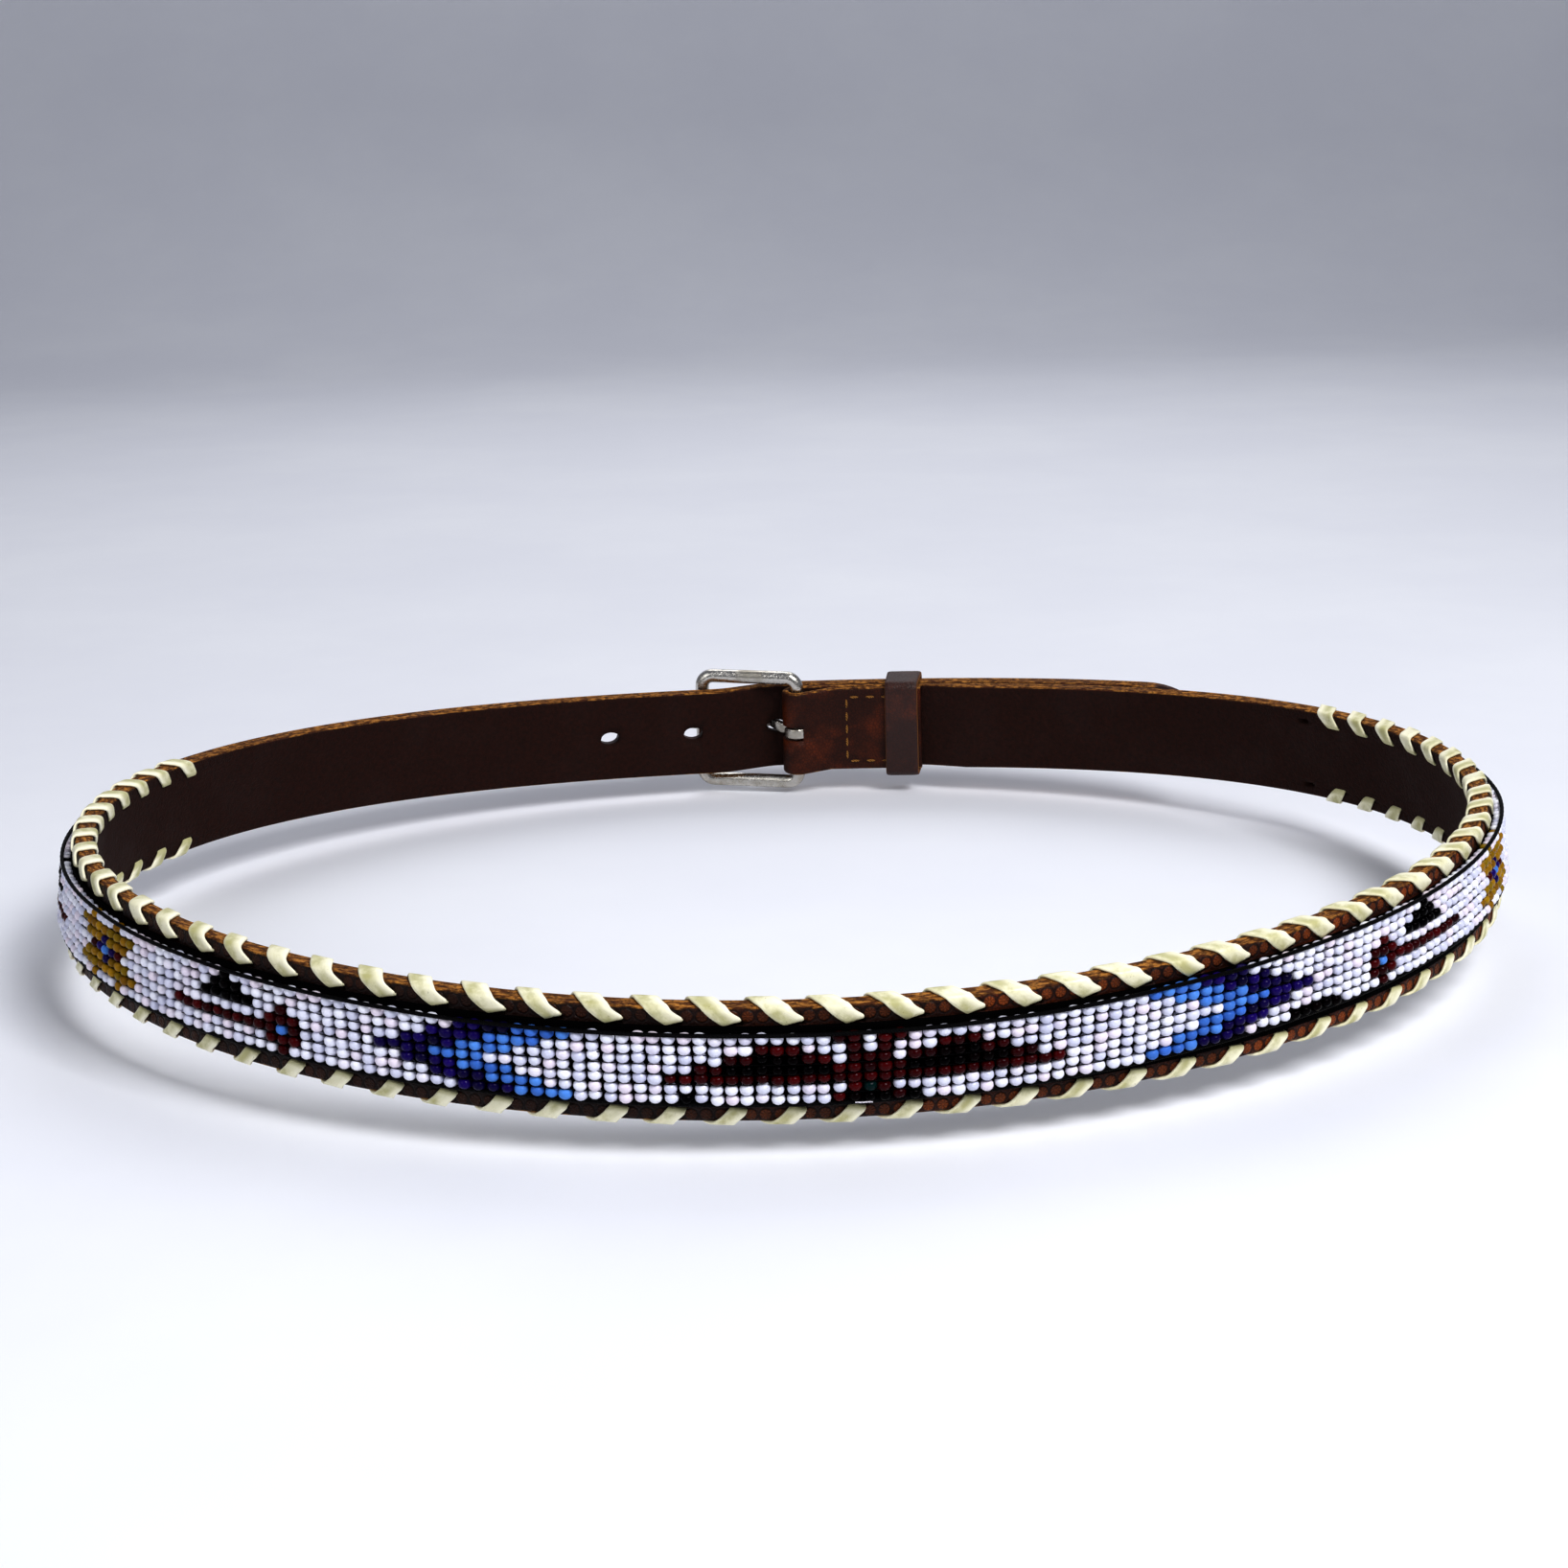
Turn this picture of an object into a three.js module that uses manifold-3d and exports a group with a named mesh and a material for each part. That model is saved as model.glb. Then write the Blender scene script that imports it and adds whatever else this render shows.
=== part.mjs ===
// Beaded leather belt, buckled and held open in the round as it is worn on the hips.
// One thick leather strap carries a strip of loomed beadwork along its outer face.
// A flat lace is whip stitched over each edge through punched holes, and the plain ends
// meet at the back: one folds round the buckle's bar, the other runs over it as the billet.
// Millimetres, +Z up. The origin is the middle of the hollow, where the wearer's hips are.
// X runs across the belt, with the middle of the front at -Y and the buckle at +Y.
import * as THREE from "three";
import { mergeVertices } from "three/addons/utils/BufferGeometryUtils.js";
import Module from "manifold-3d";

const wasm = await Module();
wasm.setup();

// Driving dimensions: the ring that the belt is held in
const ringHalfWidth = 173;
const ringHalfDepth = 140;
const sideRise = 3.6;
const lean = { mean: 4, frontToBack: -6, endsToSides: -5.3 };

// Driving dimensions: the strap
const strapWidth = 25.4;
const strapThick = 4.4;
const skivedThick = 2.2;
const gap = 0.3;
const halfStrap = strapWidth / 2;

// Driving dimensions: lacing and beadwork
const lacePitch = 12;
const laceTurns = 52;
const laceShift = 4;
const laceThick = 1.0;
const laceHalf = { inHole: 1.2, outside: 2.8 };
const laceBack = { onFace: 1.5, outerCorner: 3.5, innerCorner: 6.3 };
const laceNarrow = 1.2;
const laceHole = { inset: 2.8, length: 4.0, width: 2.2, slant: 2.5 };
const beadStrip = { halfBase: 9.0, selvage: 0.9, halfCord: 8.2, cord: 2.7, halfTop: 7.5, top: 3.1 };
const stripOverrun = 5;

// Driving dimensions: buckle, billet and keeper
const barRadius = 2.0;
const barBeforeBack = 13;
const frameLength = 28;
const frameHalfWidth = 16.2;
const frameCorner = 3.2;
const tabLength = 39;
const skiveLength = 12;
const foldLeave = THREE.MathUtils.degToRad(25);
const rampLength = 21;
const billetHoles = { count: 5, pitch: 25.4, length: 6.0, width: 4.4, chamfer: 0.8 };
const tipPastHole = 76;
const tipTaper = 16;
const prong = { thick: 2.0, halfWidth: 1.6, slotHalf: 2.2, overhang: 4.5, holeFromBar: 6.3 };
const prongRise = { before: 1.9, after: 1.6, tipDrop: 0.4, miterLimit: 0.8 };
const prongCurl = THREE.MathUtils.degToRad(250);
const keeper = { width: 10, wall: 1.8, side: 0.3, corner: 1.5, innerCorner: 0.2 };

// Steps along the strap: fine where the edge is laced, coarser along the plain ends
const lacedStep = lacePitch / 2;
const plainStep = 10;
const tubeSides = 8;
const cornerSteps = 3;
const foldSteps = 9;
const curlSteps = 8;

// The ring is an ellipse. s is the length along it from the middle of the front towards +X.
const ring = new THREE.EllipseCurve(
  0, 0, ringHalfWidth, ringHalfDepth, -Math.PI / 2, 1.5 * Math.PI, false, 0);
ring.arcLengthDivisions = 4000;
const girth = ring.getLength();

// A place on the belt: s along it, b up its width from the middle, a out from the outer face
function at(s, b, a) {
  const u = THREE.MathUtils.euclideanModulo(s / girth, 1);
  const p = ring.getPointAt(u);
  const t = ring.getTangentAt(u);
  const turn = 2 * Math.PI * u;
  const tiltDegrees = lean.mean + lean.frontToBack * Math.cos(turn)
    + lean.endsToSides * Math.cos(2 * turn);
  const tilt = THREE.MathUtils.degToRad(tiltDegrees);
  const flat = a * Math.cos(tilt) - b * Math.sin(tilt);
  const high = a * Math.sin(tilt) + b * Math.cos(tilt);
  const rise = -sideRise * Math.cos(2 * turn);
  return new THREE.Vector3(p.x + t.y * flat, p.y - t.x * flat, rise + high);
}

// A closed body through sections of equal point counts: capped at its ends, or joined in a ring
function loft(sections, joined = false) {
  const count = sections[0].length;
  const index = [];
  const spans = joined ? sections.length : sections.length - 1;
  for (let i = 0; i < spans; i++) {
    const here = i * count;
    const next = ((i + 1) % sections.length) * count;
    for (let k = 0; k < count; k++) {
      const l = (k + 1) % count;
      index.push(here + k, here + l, next + l);
      index.push(here + k, next + l, next + k);
    }
  }
  if (!joined) {
    const last = (sections.length - 1) * count;
    for (let k = 1; k < count - 1; k++) {
      index.push(0, k + 1, k);
      index.push(last, last + k, last + k + 1);
    }
  }
  const geometry = new THREE.BufferGeometry();
  geometry.setFromPoints(sections.flat());
  geometry.setIndex(index);
  return facingOut(geometry);
}

// Turns a body's faces outwards, by the sign of its volume
function facingOut(geometry) {
  const position = geometry.attributes.position;
  const index = Array.from(geometry.index.array);
  const corner = [new THREE.Vector3(), new THREE.Vector3(), new THREE.Vector3()];
  let volume = 0;
  for (let i = 0; i < index.length; i += 3) {
    corner.forEach((point, k) => point.fromBufferAttribute(position, index[i + k]));
    volume += corner[0].dot(corner[1].clone().cross(corner[2]));
  }
  if (volume < 0) index.reverse();
  geometry.setIndex(index);
  return geometry;
}

// The same body as a solid that can be cut, and a cut solid as a body again
function toSolid(geometry) {
  const bare = geometry.clone();
  bare.deleteAttribute("normal");
  bare.deleteAttribute("uv");
  const merged = mergeVertices(bare, 1e-4);
  return new wasm.Manifold(new wasm.Mesh({
    numProp: 3,
    vertProperties: new Float32Array(merged.attributes.position.array),
    triVerts: new Uint32Array(merged.index.array),
  }));
}

function toGeometry(solid) {
  const mesh = solid.getMesh();
  const geometry = new THREE.BufferGeometry();
  geometry.setAttribute("position", new THREE.BufferAttribute(mesh.vertProperties, 3));
  geometry.setIndex(new THREE.BufferAttribute(mesh.triVerts, 1));
  return geometry;
}

// A plug through the leather: an oblong with cut corners, seen along the leather's thickness.
// Its slant is how far it has moved along where it leaves the strap's inner face.
function plug(s, b, length, width, chamfer, low, high, slant = 0) {
  const x = length / 2;
  const y = width / 2;
  const outline = chamfer > 0
    ? [[x, y - chamfer], [x - chamfer, y], [chamfer - x, y], [-x, y - chamfer],
      [-x, chamfer - y], [chamfer - x, -y], [x - chamfer, -y], [x, chamfer - y]]
    : [[x, y], [-x, y], [-x, -y], [x, -y]];
  const sections = [low, high].map((a) => {
    const moved = s - slant * a / strapThick;
    return outline.map(([ds, db]) => at(moved + ds, b + db, a));
  });
  return toSolid(loft(sections));
}

// Where things lie along the strap, worked out from the sizes above
const laceHalfRun = laceTurns * lacePitch / 2;
const laceStart = laceShift - laceHalfRun;
const laceEnd = laceShift + laceHalfRun;
const lacedFrom = laceStart - 1.5 * lacedStep;
const lacedTo = laceEnd + 1.5 * lacedStep;
const barAt = girth / 2 - barBeforeBack;
const laceRow = halfStrap - laceHole.inset;
const foldRadius = barRadius + gap;
const barDepth = -(skivedThick + foldRadius);
const farBarAt = barAt + frameLength;
const farBarOut = gap + barRadius;
const overlapOut = strapThick + gap;
const rampFrom = barAt + foldRadius + skivedThick - gap;
const prongHoleAt = barAt + prong.holeFromBar;
const tipAt = prongHoleAt - 2 * billetHoles.pitch - tipPastHole;
const lapBack = (s) => s - girth;

// Strap: sections across the leather, from the billet's tip to the end folded round the bar
function strapSection(s, a, heading, thick, half) {
  const fleshS = s + thick * Math.sin(heading);
  const fleshA = a - thick * Math.cos(heading);
  return [at(s, half, a), at(s, -half, a), at(fleshS, -half, fleshA), at(fleshS, half, fleshA)];
}

// How far the strap's outer face lies outside the ring: the billet climbs over the folded end
function strapOut(s) {
  const along = THREE.MathUtils.smoothstep(s, lapBack(rampFrom), lapBack(rampFrom) + rampLength);
  return overlapOut * (1 - along);
}

// The tip narrows to a blunt round point
function halfAt(s) {
  const fromTip = THREE.MathUtils.clamp((s - lapBack(tipAt)) / tipTaper, 0, 1);
  return halfStrap * (0.3 + 0.7 * Math.sqrt(1 - (1 - fromTip) ** 2));
}

function evenSteps(from, to, step) {
  const count = Math.max(1, Math.round((to - from) / step));
  return Array.from({ length: count }, (_, i) => from + (to - from) * i / count);
}

function strapBody() {
  const skiveTo = barAt - tabLength;
  const skiveFrom = skiveTo - skiveLength;
  const stops = [
    ...evenSteps(lapBack(tipAt), lapBack(tipAt) + tipTaper, 3),
    ...evenSteps(lapBack(tipAt) + tipTaper, lapBack(rampFrom), plainStep),
    ...evenSteps(lapBack(rampFrom), lapBack(rampFrom) + rampLength, 3),
    ...evenSteps(lapBack(rampFrom) + rampLength, lacedFrom, plainStep),
    ...evenSteps(lacedFrom, lacedTo, lacedStep),
    ...evenSteps(lacedTo, skiveFrom, plainStep),
    skiveFrom,
  ];
  const sections = stops.map((s) => strapSection(s, strapOut(s), 0, strapThick, halfAt(s)));
  for (const s of evenSteps(skiveTo, barAt, plainStep)) {
    sections.push(strapSection(s, 0, 0, skivedThick, halfStrap));
  }
  // Round the bar, and a little past half a turn so that the fold closes up
  const grainRadius = foldRadius + skivedThick;
  const foldTurn = Math.PI + foldLeave;
  for (let i = 0; i <= foldSteps; i++) {
    const swing = foldTurn * i / foldSteps;
    const s = barAt + grainRadius * Math.sin(swing);
    const a = barDepth + grainRadius * Math.cos(swing);
    sections.push(strapSection(s, a, -swing, skivedThick, halfStrap));
  }
  // Back along the flesh side, to the start of the skived part
  const leaveA = barDepth - foldRadius * Math.cos(foldLeave);
  const leaveS = barAt - foldRadius * Math.sin(foldLeave);
  const tabFlesh = -skivedThick - gap;
  const meetS = leaveS - (tabFlesh - leaveA) / Math.tan(foldLeave);
  const miter = skivedThick * Math.tan(foldLeave / 2);
  const tabGrain = tabFlesh - skivedThick;
  const tabEnd = skiveTo + 1.5;
  const meetHeading = -Math.PI - foldLeave / 2;
  const meetThick = Math.hypot(skivedThick, miter);
  sections.push(strapSection(meetS - miter, tabGrain, meetHeading, meetThick, halfStrap));
  sections.push(strapSection((meetS + tabEnd) / 2, tabGrain, -Math.PI, skivedThick, halfStrap));
  sections.push(strapSection(tabEnd, tabGrain, -Math.PI, skivedThick, halfStrap));
  return loft(sections);
}

// The strap's holes: one row along each edge for the lacing, and the billet's own holes
function strap() {
  const beyond = 1;
  const through = [-strapThick - beyond, beyond];
  let leather = toSolid(strapBody());
  for (let i = 0; i <= laceTurns; i++) {
    const s = laceStart + i * lacePitch;
    for (const edge of [1, -1]) {
      const b = edge * laceRow;
      const cut = plug(s, b, laceHole.length, laceHole.width, 0, ...through, laceHole.slant);
      leather = leather.subtract(cut);
    }
  }
  // The prong is in the middle hole of the billet. Where the billet lies over the other end,
  // its holes stop short of the leather below.
  const { count, pitch, length, width, chamfer } = billetHoles;
  for (let i = 0; i < count; i++) {
    const s = lapBack(prongHoleAt) + (i - (count - 1) / 2) * pitch;
    const ends = [strapOut(s - length / 2), strapOut(s + length / 2)];
    const low = Math.min(...ends) - strapThick - gap / 2;
    const cut = plug(s, 0, length, width, chamfer, low, Math.max(...ends) + beyond);
    leather = leather.subtract(cut);
  }
  // The fold has a slot for the prong, as deep as the fold and just short of the billet
  const foldOuter = foldRadius + skivedThick;
  const slotFrom = barAt - foldRadius - prong.thick - 2 * gap;
  const slotTo = barAt + foldOuter + gap;
  const slotMiddle = (slotFrom + slotTo) / 2;
  const slotTop = gap / 6;
  const slotLow = barDepth - foldOuter - beyond;
  const slot = plug(slotMiddle, 0, slotTo - slotFrom, 2 * prong.slotHalf, 0, slotLow, slotTop);
  return toGeometry(leather.subtract(slot));
}

// Beadwork: a flat strip over the width between the rows of holes. Its thin selvages lie
// outside the cords that edge the beads.
function beadwork() {
  const { halfBase, selvage, halfCord, cord, halfTop, top } = beadStrip;
  const half = [[halfBase, gap], [halfBase, selvage], [halfCord, selvage], [halfCord, cord],
    [halfTop, top]];
  const profile = [...half, ...half.toReversed().map(([b, a]) => [-b, a])];
  const stops = [...evenSteps(laceStart - stripOverrun, laceEnd + stripOverrun, lacedStep),
    laceEnd + stripOverrun];
  return loft(stops.map((s) => profile.map(([b, a]) => at(s, b, a))));
}

// Lacing: a flat lace over one edge. On the outer face it slants from a hole back to the edge,
// and on the inner face it slants on to the hole before.
function lacing(edge) {
  const side = halfStrap + gap;
  const sideFar = side + laceThick;
  const face = gap;
  const faceFar = gap + laceThick;
  const back = -strapThick - gap;
  const backFar = back - laceThick;
  const slim = laceNarrow / 2;
  const spread = laceRow + 1.1;
  const { inHole, outside } = laceHalf;
  const holeBack = lacePitch - laceHole.slant;
  // Each section is given by how far back it lies from its hole, its half length along the
  // strap, and where its near side (to the leather) and far side lie as width and depth
  const turn = [
    { back: 0, half: inHole, near: [laceRow + slim, face], far: [laceRow - slim, faceFar] },
    { back: laceBack.onFace, half: outside, near: [spread, face], far: [spread, faceFar] },
    { back: laceBack.outerCorner, half: outside, near: [side, face], far: [sideFar, faceFar] },
    { back: laceBack.innerCorner, half: outside, near: [side, back], far: [sideFar, backFar] },
    { back: holeBack, half: inHole, near: [laceRow + slim, back], far: [laceRow - slim, backFar] },
  ];
  const sections = [];
  for (let i = laceTurns; i >= 1; i--) {
    for (const { back: moved, half, near, far } of turn) {
      const s = laceStart + i * lacePitch - moved;
      sections.push([
        at(s - half, edge * near[0], near[1]),
        at(s + half, edge * near[0], near[1]),
        at(s + half, edge * far[0], far[1]),
        at(s - half, edge * far[0], far[1]),
      ]);
    }
  }
  return loft(sections);
}

// Buckle frame: a round bar bent to a rectangle, its heel bar inside the fold and its far bar
// outside the billet
function buckleFrame() {
  const slope = (farBarOut - barDepth) / frameLength;
  const cornerS = [farBarAt - frameCorner, barAt + frameCorner];
  const cornerB = frameHalfWidth - frameCorner;
  const corners = [
    { s: cornerS[0], b: cornerB },
    { s: cornerS[1], b: cornerB },
    { s: cornerS[1], b: -cornerB },
    { s: cornerS[0], b: -cornerB },
  ];
  const sections = [];
  corners.forEach((corner, quarter) => {
    for (let i = 0; i <= cornerSteps; i++) {
      const swing = (quarter + i / cornerSteps) * Math.PI / 2;
      const middleOut = barDepth + slope * (corner.s + frameCorner * Math.cos(swing) - barAt);
      sections.push(Array.from({ length: tubeSides }, (_, k) => {
        const angle = 2 * Math.PI * k / tubeSides;
        const reach = frameCorner + barRadius * Math.cos(angle);
        return at(corner.s + reach * Math.cos(swing), corner.b + reach * Math.sin(swing),
          middleOut + barRadius * Math.sin(angle));
      }));
    }
  });
  return loft(sections, true);
}

// Prong: a strip of metal curled round the heel bar, up through the billet's hole and out
// over the far bar
function buckleProng() {
  const half = prong.thick / 2;
  const curl = foldRadius + half;
  const overBar = farBarOut + barRadius + gap + half;
  const line = [];
  for (let i = curlSteps; i >= 0; i--) {
    const swing = Math.PI / 2 + prongCurl * i / curlSteps;
    line.push(new THREE.Vector2(
      barAt + curl * Math.cos(swing), barDepth + curl * Math.sin(swing)));
  }
  line.push(new THREE.Vector2(prongHoleAt - prongRise.before, barDepth + curl));
  line.push(new THREE.Vector2(prongHoleAt + prongRise.after, overBar));
  line.push(new THREE.Vector2(farBarAt, overBar));
  line.push(new THREE.Vector2(farBarAt + prong.overhang, overBar - prongRise.tipDrop));
  const sections = line.map((here, i) => {
    const before = line[Math.max(0, i - 1)];
    const after = line[Math.min(line.length - 1, i + 1)];
    const into = here.clone().sub(before).normalize();
    const onward = after.clone().sub(here).normalize();
    const along = into.clone().add(onward).normalize();
    const reach = half / Math.max(prongRise.miterLimit, along.dot(i > 0 ? into : onward));
    const ds = -along.y * reach;
    const da = along.x * reach;
    const w = prong.halfWidth;
    return [at(here.x + ds, w, here.y + da), at(here.x + ds, -w, here.y + da),
      at(here.x - ds, -w, here.y - da), at(here.x - ds, w, here.y - da)];
  });
  return loft(sections);
}

// Keeper: a loop of thin leather round both layers, between two of the billet's holes
function keeperLoop() {
  const middle = prongHoleAt - 1.5 * billetHoles.pitch;
  const clear = {
    b: halfStrap + keeper.side,
    high: overlapOut + gap,
    low: -2 * skivedThick - 2 * gap,
  };
  const outline = (grow, cut, s) => {
    const b = clear.b + grow;
    const high = clear.high + grow;
    const low = clear.low - grow;
    const points = [[b, high - cut], [b - cut, high], [cut - b, high], [-b, high - cut],
      [-b, low + cut], [cut - b, low], [b - cut, low], [b, low + cut]];
    return points.map(([width, out]) => at(s, width, out));
  };
  const places = [middle - keeper.width / 2, middle, middle + keeper.width / 2];
  const outside = places.map((s) => outline(keeper.wall, keeper.corner, s));
  const inside = places.toReversed().map((s) => outline(0, keeper.innerCorner, s));
  return loft([...outside, ...inside], true);
}

// Finishes
const finish = {
  leather: { color: 0x3c1408, roughness: 0.55, metalness: 0 },
  beads: { color: 0xebebfa, roughness: 0.25, metalness: 0 },
  lace: { color: 0xdcd8b4, roughness: 0.6, metalness: 0 },
  metal: { color: 0xb8b4aa, roughness: 0.3, metalness: 1 },
};

const belt = new THREE.Group();
function add(name, geometry, look) {
  const mesh = new THREE.Mesh(geometry, new THREE.MeshStandardMaterial(look));
  mesh.name = name;
  belt.add(mesh);
}

add("strap", strap(), finish.leather);
add("bead_strip", beadwork(), finish.beads);
add("lace_top", lacing(1), finish.lace);
add("lace_bottom", lacing(-1), finish.lace);
add("buckle_frame", buckleFrame(), finish.metal);
add("buckle_prong", buckleProng(), finish.metal);
add("keeper", keeperLoop(), finish.leather);

export default belt;
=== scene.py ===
# %% [markdown]
# # A beaded leather belt
# The belt is one thick strap, held open in the round as it is worn. A loomed strip of seed
# beads lies along its outer face, and a flat cream lace is whip stitched over both edges.
# The CAD model holds the form, and this script gives each piece its fine shape and finish.

# %% Load the frame
import math

import bmesh
import bpy
import numpy as np
from mathutils import Matrix, Vector


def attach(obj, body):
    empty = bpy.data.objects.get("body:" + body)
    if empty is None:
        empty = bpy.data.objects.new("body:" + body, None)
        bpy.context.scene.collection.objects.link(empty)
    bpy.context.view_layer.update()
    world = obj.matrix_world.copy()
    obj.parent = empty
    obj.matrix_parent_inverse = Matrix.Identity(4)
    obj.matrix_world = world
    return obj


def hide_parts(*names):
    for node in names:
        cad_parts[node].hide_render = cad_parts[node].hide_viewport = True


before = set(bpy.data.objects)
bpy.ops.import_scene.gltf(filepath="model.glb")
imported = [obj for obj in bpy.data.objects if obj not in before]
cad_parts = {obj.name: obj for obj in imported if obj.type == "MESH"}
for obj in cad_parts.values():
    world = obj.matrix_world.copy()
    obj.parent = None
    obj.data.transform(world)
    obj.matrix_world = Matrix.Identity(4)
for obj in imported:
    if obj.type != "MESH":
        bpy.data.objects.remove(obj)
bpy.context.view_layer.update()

scene = bpy.context.scene
rng = np.random.default_rng(41)
print("pieces of the frame:", sorted(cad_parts))

# %% [markdown]
# Everything on a belt follows the belt, so it is easiest to think in belt coordinates: s runs
# along the strap, b up its width from the middle, and a out from its outer face. One function
# bends them into the round. The ring is an ellipse whose sides stand a little higher than
# its front, and the strap leans differently at the front, the sides and the back. Sizes are
# in millimetres here and become metres in this one place.

# %% Belt coordinates
MM = 0.001
HALF_WIDTH = 173.0
HALF_DEPTH = 140.0
SIDE_RISE = 3.6
LEAN = {"mean": 4.0, "front_to_back": -6.0, "ends_to_sides": -5.3}

ring_angle = np.linspace(-0.5 * math.pi, 1.5 * math.pi, 4001)
ring_points = np.stack([HALF_WIDTH * np.cos(ring_angle), HALF_DEPTH * np.sin(ring_angle)], 1)
ring_steps = np.hypot(*np.diff(ring_points, axis=0).T)
ring_length = np.concatenate([[0.0], np.cumsum(ring_steps)])
GIRTH = ring_length[-1]


def place(s, b, a):
    s, b, a = np.broadcast_arrays(np.asarray(s, float), np.asarray(b, float), a)
    along = np.mod(s, GIRTH)
    angle = np.interp(along, ring_length, ring_angle)
    tangent = np.stack([-HALF_WIDTH * np.sin(angle), HALF_DEPTH * np.cos(angle)])
    tangent /= np.linalg.norm(tangent, axis=0)
    turn = 2 * math.pi * along / GIRTH
    tilt = np.radians(LEAN["mean"] + LEAN["front_to_back"] * np.cos(turn)
                      + LEAN["ends_to_sides"] * np.cos(2 * turn))
    flat = a * np.cos(tilt) - b * np.sin(tilt)
    high = a * np.sin(tilt) + b * np.cos(tilt) - SIDE_RISE * np.cos(2 * turn)
    x = HALF_WIDTH * np.cos(angle) + tangent[1] * flat
    y = HALF_DEPTH * np.sin(angle) - tangent[0] * flat
    return np.stack([x, y, high], -1) * MM


print("the belt measures", round(GIRTH), "mm round its outer face")

# %% [markdown]
# A photograph is matched from where it was taken. The camera stood about two thirds of a
# metre from the middle of the belt and looked down on it by fifteen degrees. The place, the
# turn and the lens come from a pinhole camera that was fitted to the row of lacing holes.

# %% Camera
CAMERA_AT = Vector((-39.8, -638.3, 189.4)) * MM
LOOK_DOWN = math.radians(15.14)
LOOK_ASIDE = math.radians(3.555)
CAMERA_ROLL = math.radians(-1.42)
LENS_MM, SENSOR_MM = 61.6, 36.0

camera = bpy.data.objects.new("camera", bpy.data.cameras.new("camera"))
scene.collection.objects.link(camera)
scene.camera = camera
camera.data.lens = LENS_MM
camera.data.sensor_width = SENSOR_MM
camera.data.clip_start = 0.01
turned = Matrix.Rotation(-LOOK_ASIDE, 4, "Z") @ Matrix.Rotation(math.pi / 2 - LOOK_DOWN, 4, "X")
camera.matrix_world = Matrix.Translation(CAMERA_AT) @ turned @ Matrix.Rotation(CAMERA_ROLL, 4, "Z")
print("camera at", [round(x, 3) for x in CAMERA_AT])

# %% [markdown]
# The belt is held open as if it were worn, so nothing carries it here. A pale floor just
# below it catches a soft shadow, and curves up behind so that the front view has no horizon.

# %% Floor
FLOOR_Z, FLOOR_FRONT, FLOOR_HALF_WIDTH = -0.0235, -2.2, 3.0
BACKDROP_Y, BACKDROP_RADIUS, BACKDROP_TOP = 1.3, 0.7, 3.0


def mesh_object(name, points, faces):
    mesh = bpy.data.meshes.new(name)
    mesh.from_pydata(np.asarray(points).tolist(), [], faces)
    mesh.validate()
    mesh.polygons.foreach_set("use_smooth", [True] * len(mesh.polygons))
    made = bpy.data.objects.new(name, mesh)
    scene.collection.objects.link(made)
    return made


def grid_quads(index):
    return np.stack([index[:-1, :-1], index[1:, :-1], index[1:, 1:], index[:-1, 1:]], -1)


swing = np.linspace(0, math.pi / 2, 14)
floor_y = np.concatenate([[FLOOR_FRONT], BACKDROP_Y + BACKDROP_RADIUS * np.sin(swing)])
floor_z = np.concatenate([[0.0], BACKDROP_RADIUS * (1 - np.cos(swing))])
floor_y = np.append(floor_y, floor_y[-1])
floor_z = np.append(floor_z, BACKDROP_TOP) + FLOOR_Z
floor_points = [(x, y, z) for y, z in zip(floor_y, floor_z)
                for x in (-FLOOR_HALF_WIDTH, FLOOR_HALF_WIDTH)]
floor_index = np.arange(len(floor_points)).reshape(-1, 2)
floor = mesh_object("floor", floor_points, grid_quads(floor_index).reshape(-1, 4).tolist())
print("floor at", FLOOR_Z)

# %% [markdown]
# Soft studio light shows beads and leather best. A wide lamp high on the right makes the
# small highlights on the beads, a weaker one on the left fills the shadows, and a lamp
# behind the belt lifts the inside of the hollow a little. The world adds a pale sky. The
# photo's contrast is strong, so the view's gamma deepens the dark tones.

# %% Lights
LAMPS = [
    # name, place, aim, size, power
    ("key", (0.5, -0.75, 1.0), (0.0, -0.05, 0.0), 0.55, 15.0),
    ("fill", (-0.9, -0.7, 0.6), (-0.05, 0.0, 0.0), 0.8, 3.0),
    ("back", (0.1, 0.9, 0.9), (0.0, 0.1, 0.0), 0.8, 4.0),
]

for name, where, aim, size, power in LAMPS:
    lamp = bpy.data.lights.new(name, "AREA")
    lamp.size = size
    lamp.energy = power
    holder = bpy.data.objects.new(name, lamp)
    scene.collection.objects.link(holder)
    holder.location = where
    holder.rotation_euler = (Vector(aim) - Vector(where)).to_track_quat("-Z", "Y").to_euler()

world = bpy.data.worlds.new("studio")
scene.world = world
world.use_nodes = True
sky = world.node_tree.nodes["Background"]
sky.inputs["Color"].default_value = (0.86, 0.89, 1.0, 1.0)
sky.inputs["Strength"].default_value = 0.28
scene.view_settings.view_transform = "Standard"
scene.view_settings.gamma = 0.8
scene.view_settings.exposure = 0.1
print("lamps:", [lamp[0] for lamp in LAMPS])

# %% [markdown]
# Materials are built from small nodes. A few helpers keep them readable: one fills a socket
# with a number or a link, one makes a node, some do arithmetic, and one remaps a value
# softly between two limits, which is how most masks are made.

# %% Node helpers


def put(socket, value):
    if isinstance(value, bpy.types.NodeSocket):
        socket.id_data.links.new(value, socket)
    else:
        socket.default_value = value


def add(tree, kind, ins=None, **settings):
    made = tree.nodes.new("ShaderNode" + kind)
    for key, value in settings.items():
        setattr(made, key, value)
    for key, value in (ins or {}).items():
        put(made.inputs[key], value)
    return made


def maths(tree, operation, *values):
    return add(tree, "Math", dict(enumerate(values)), operation=operation).outputs[0]


def product(tree, first, second):
    return maths(tree, "MULTIPLY", first, second)


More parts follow.
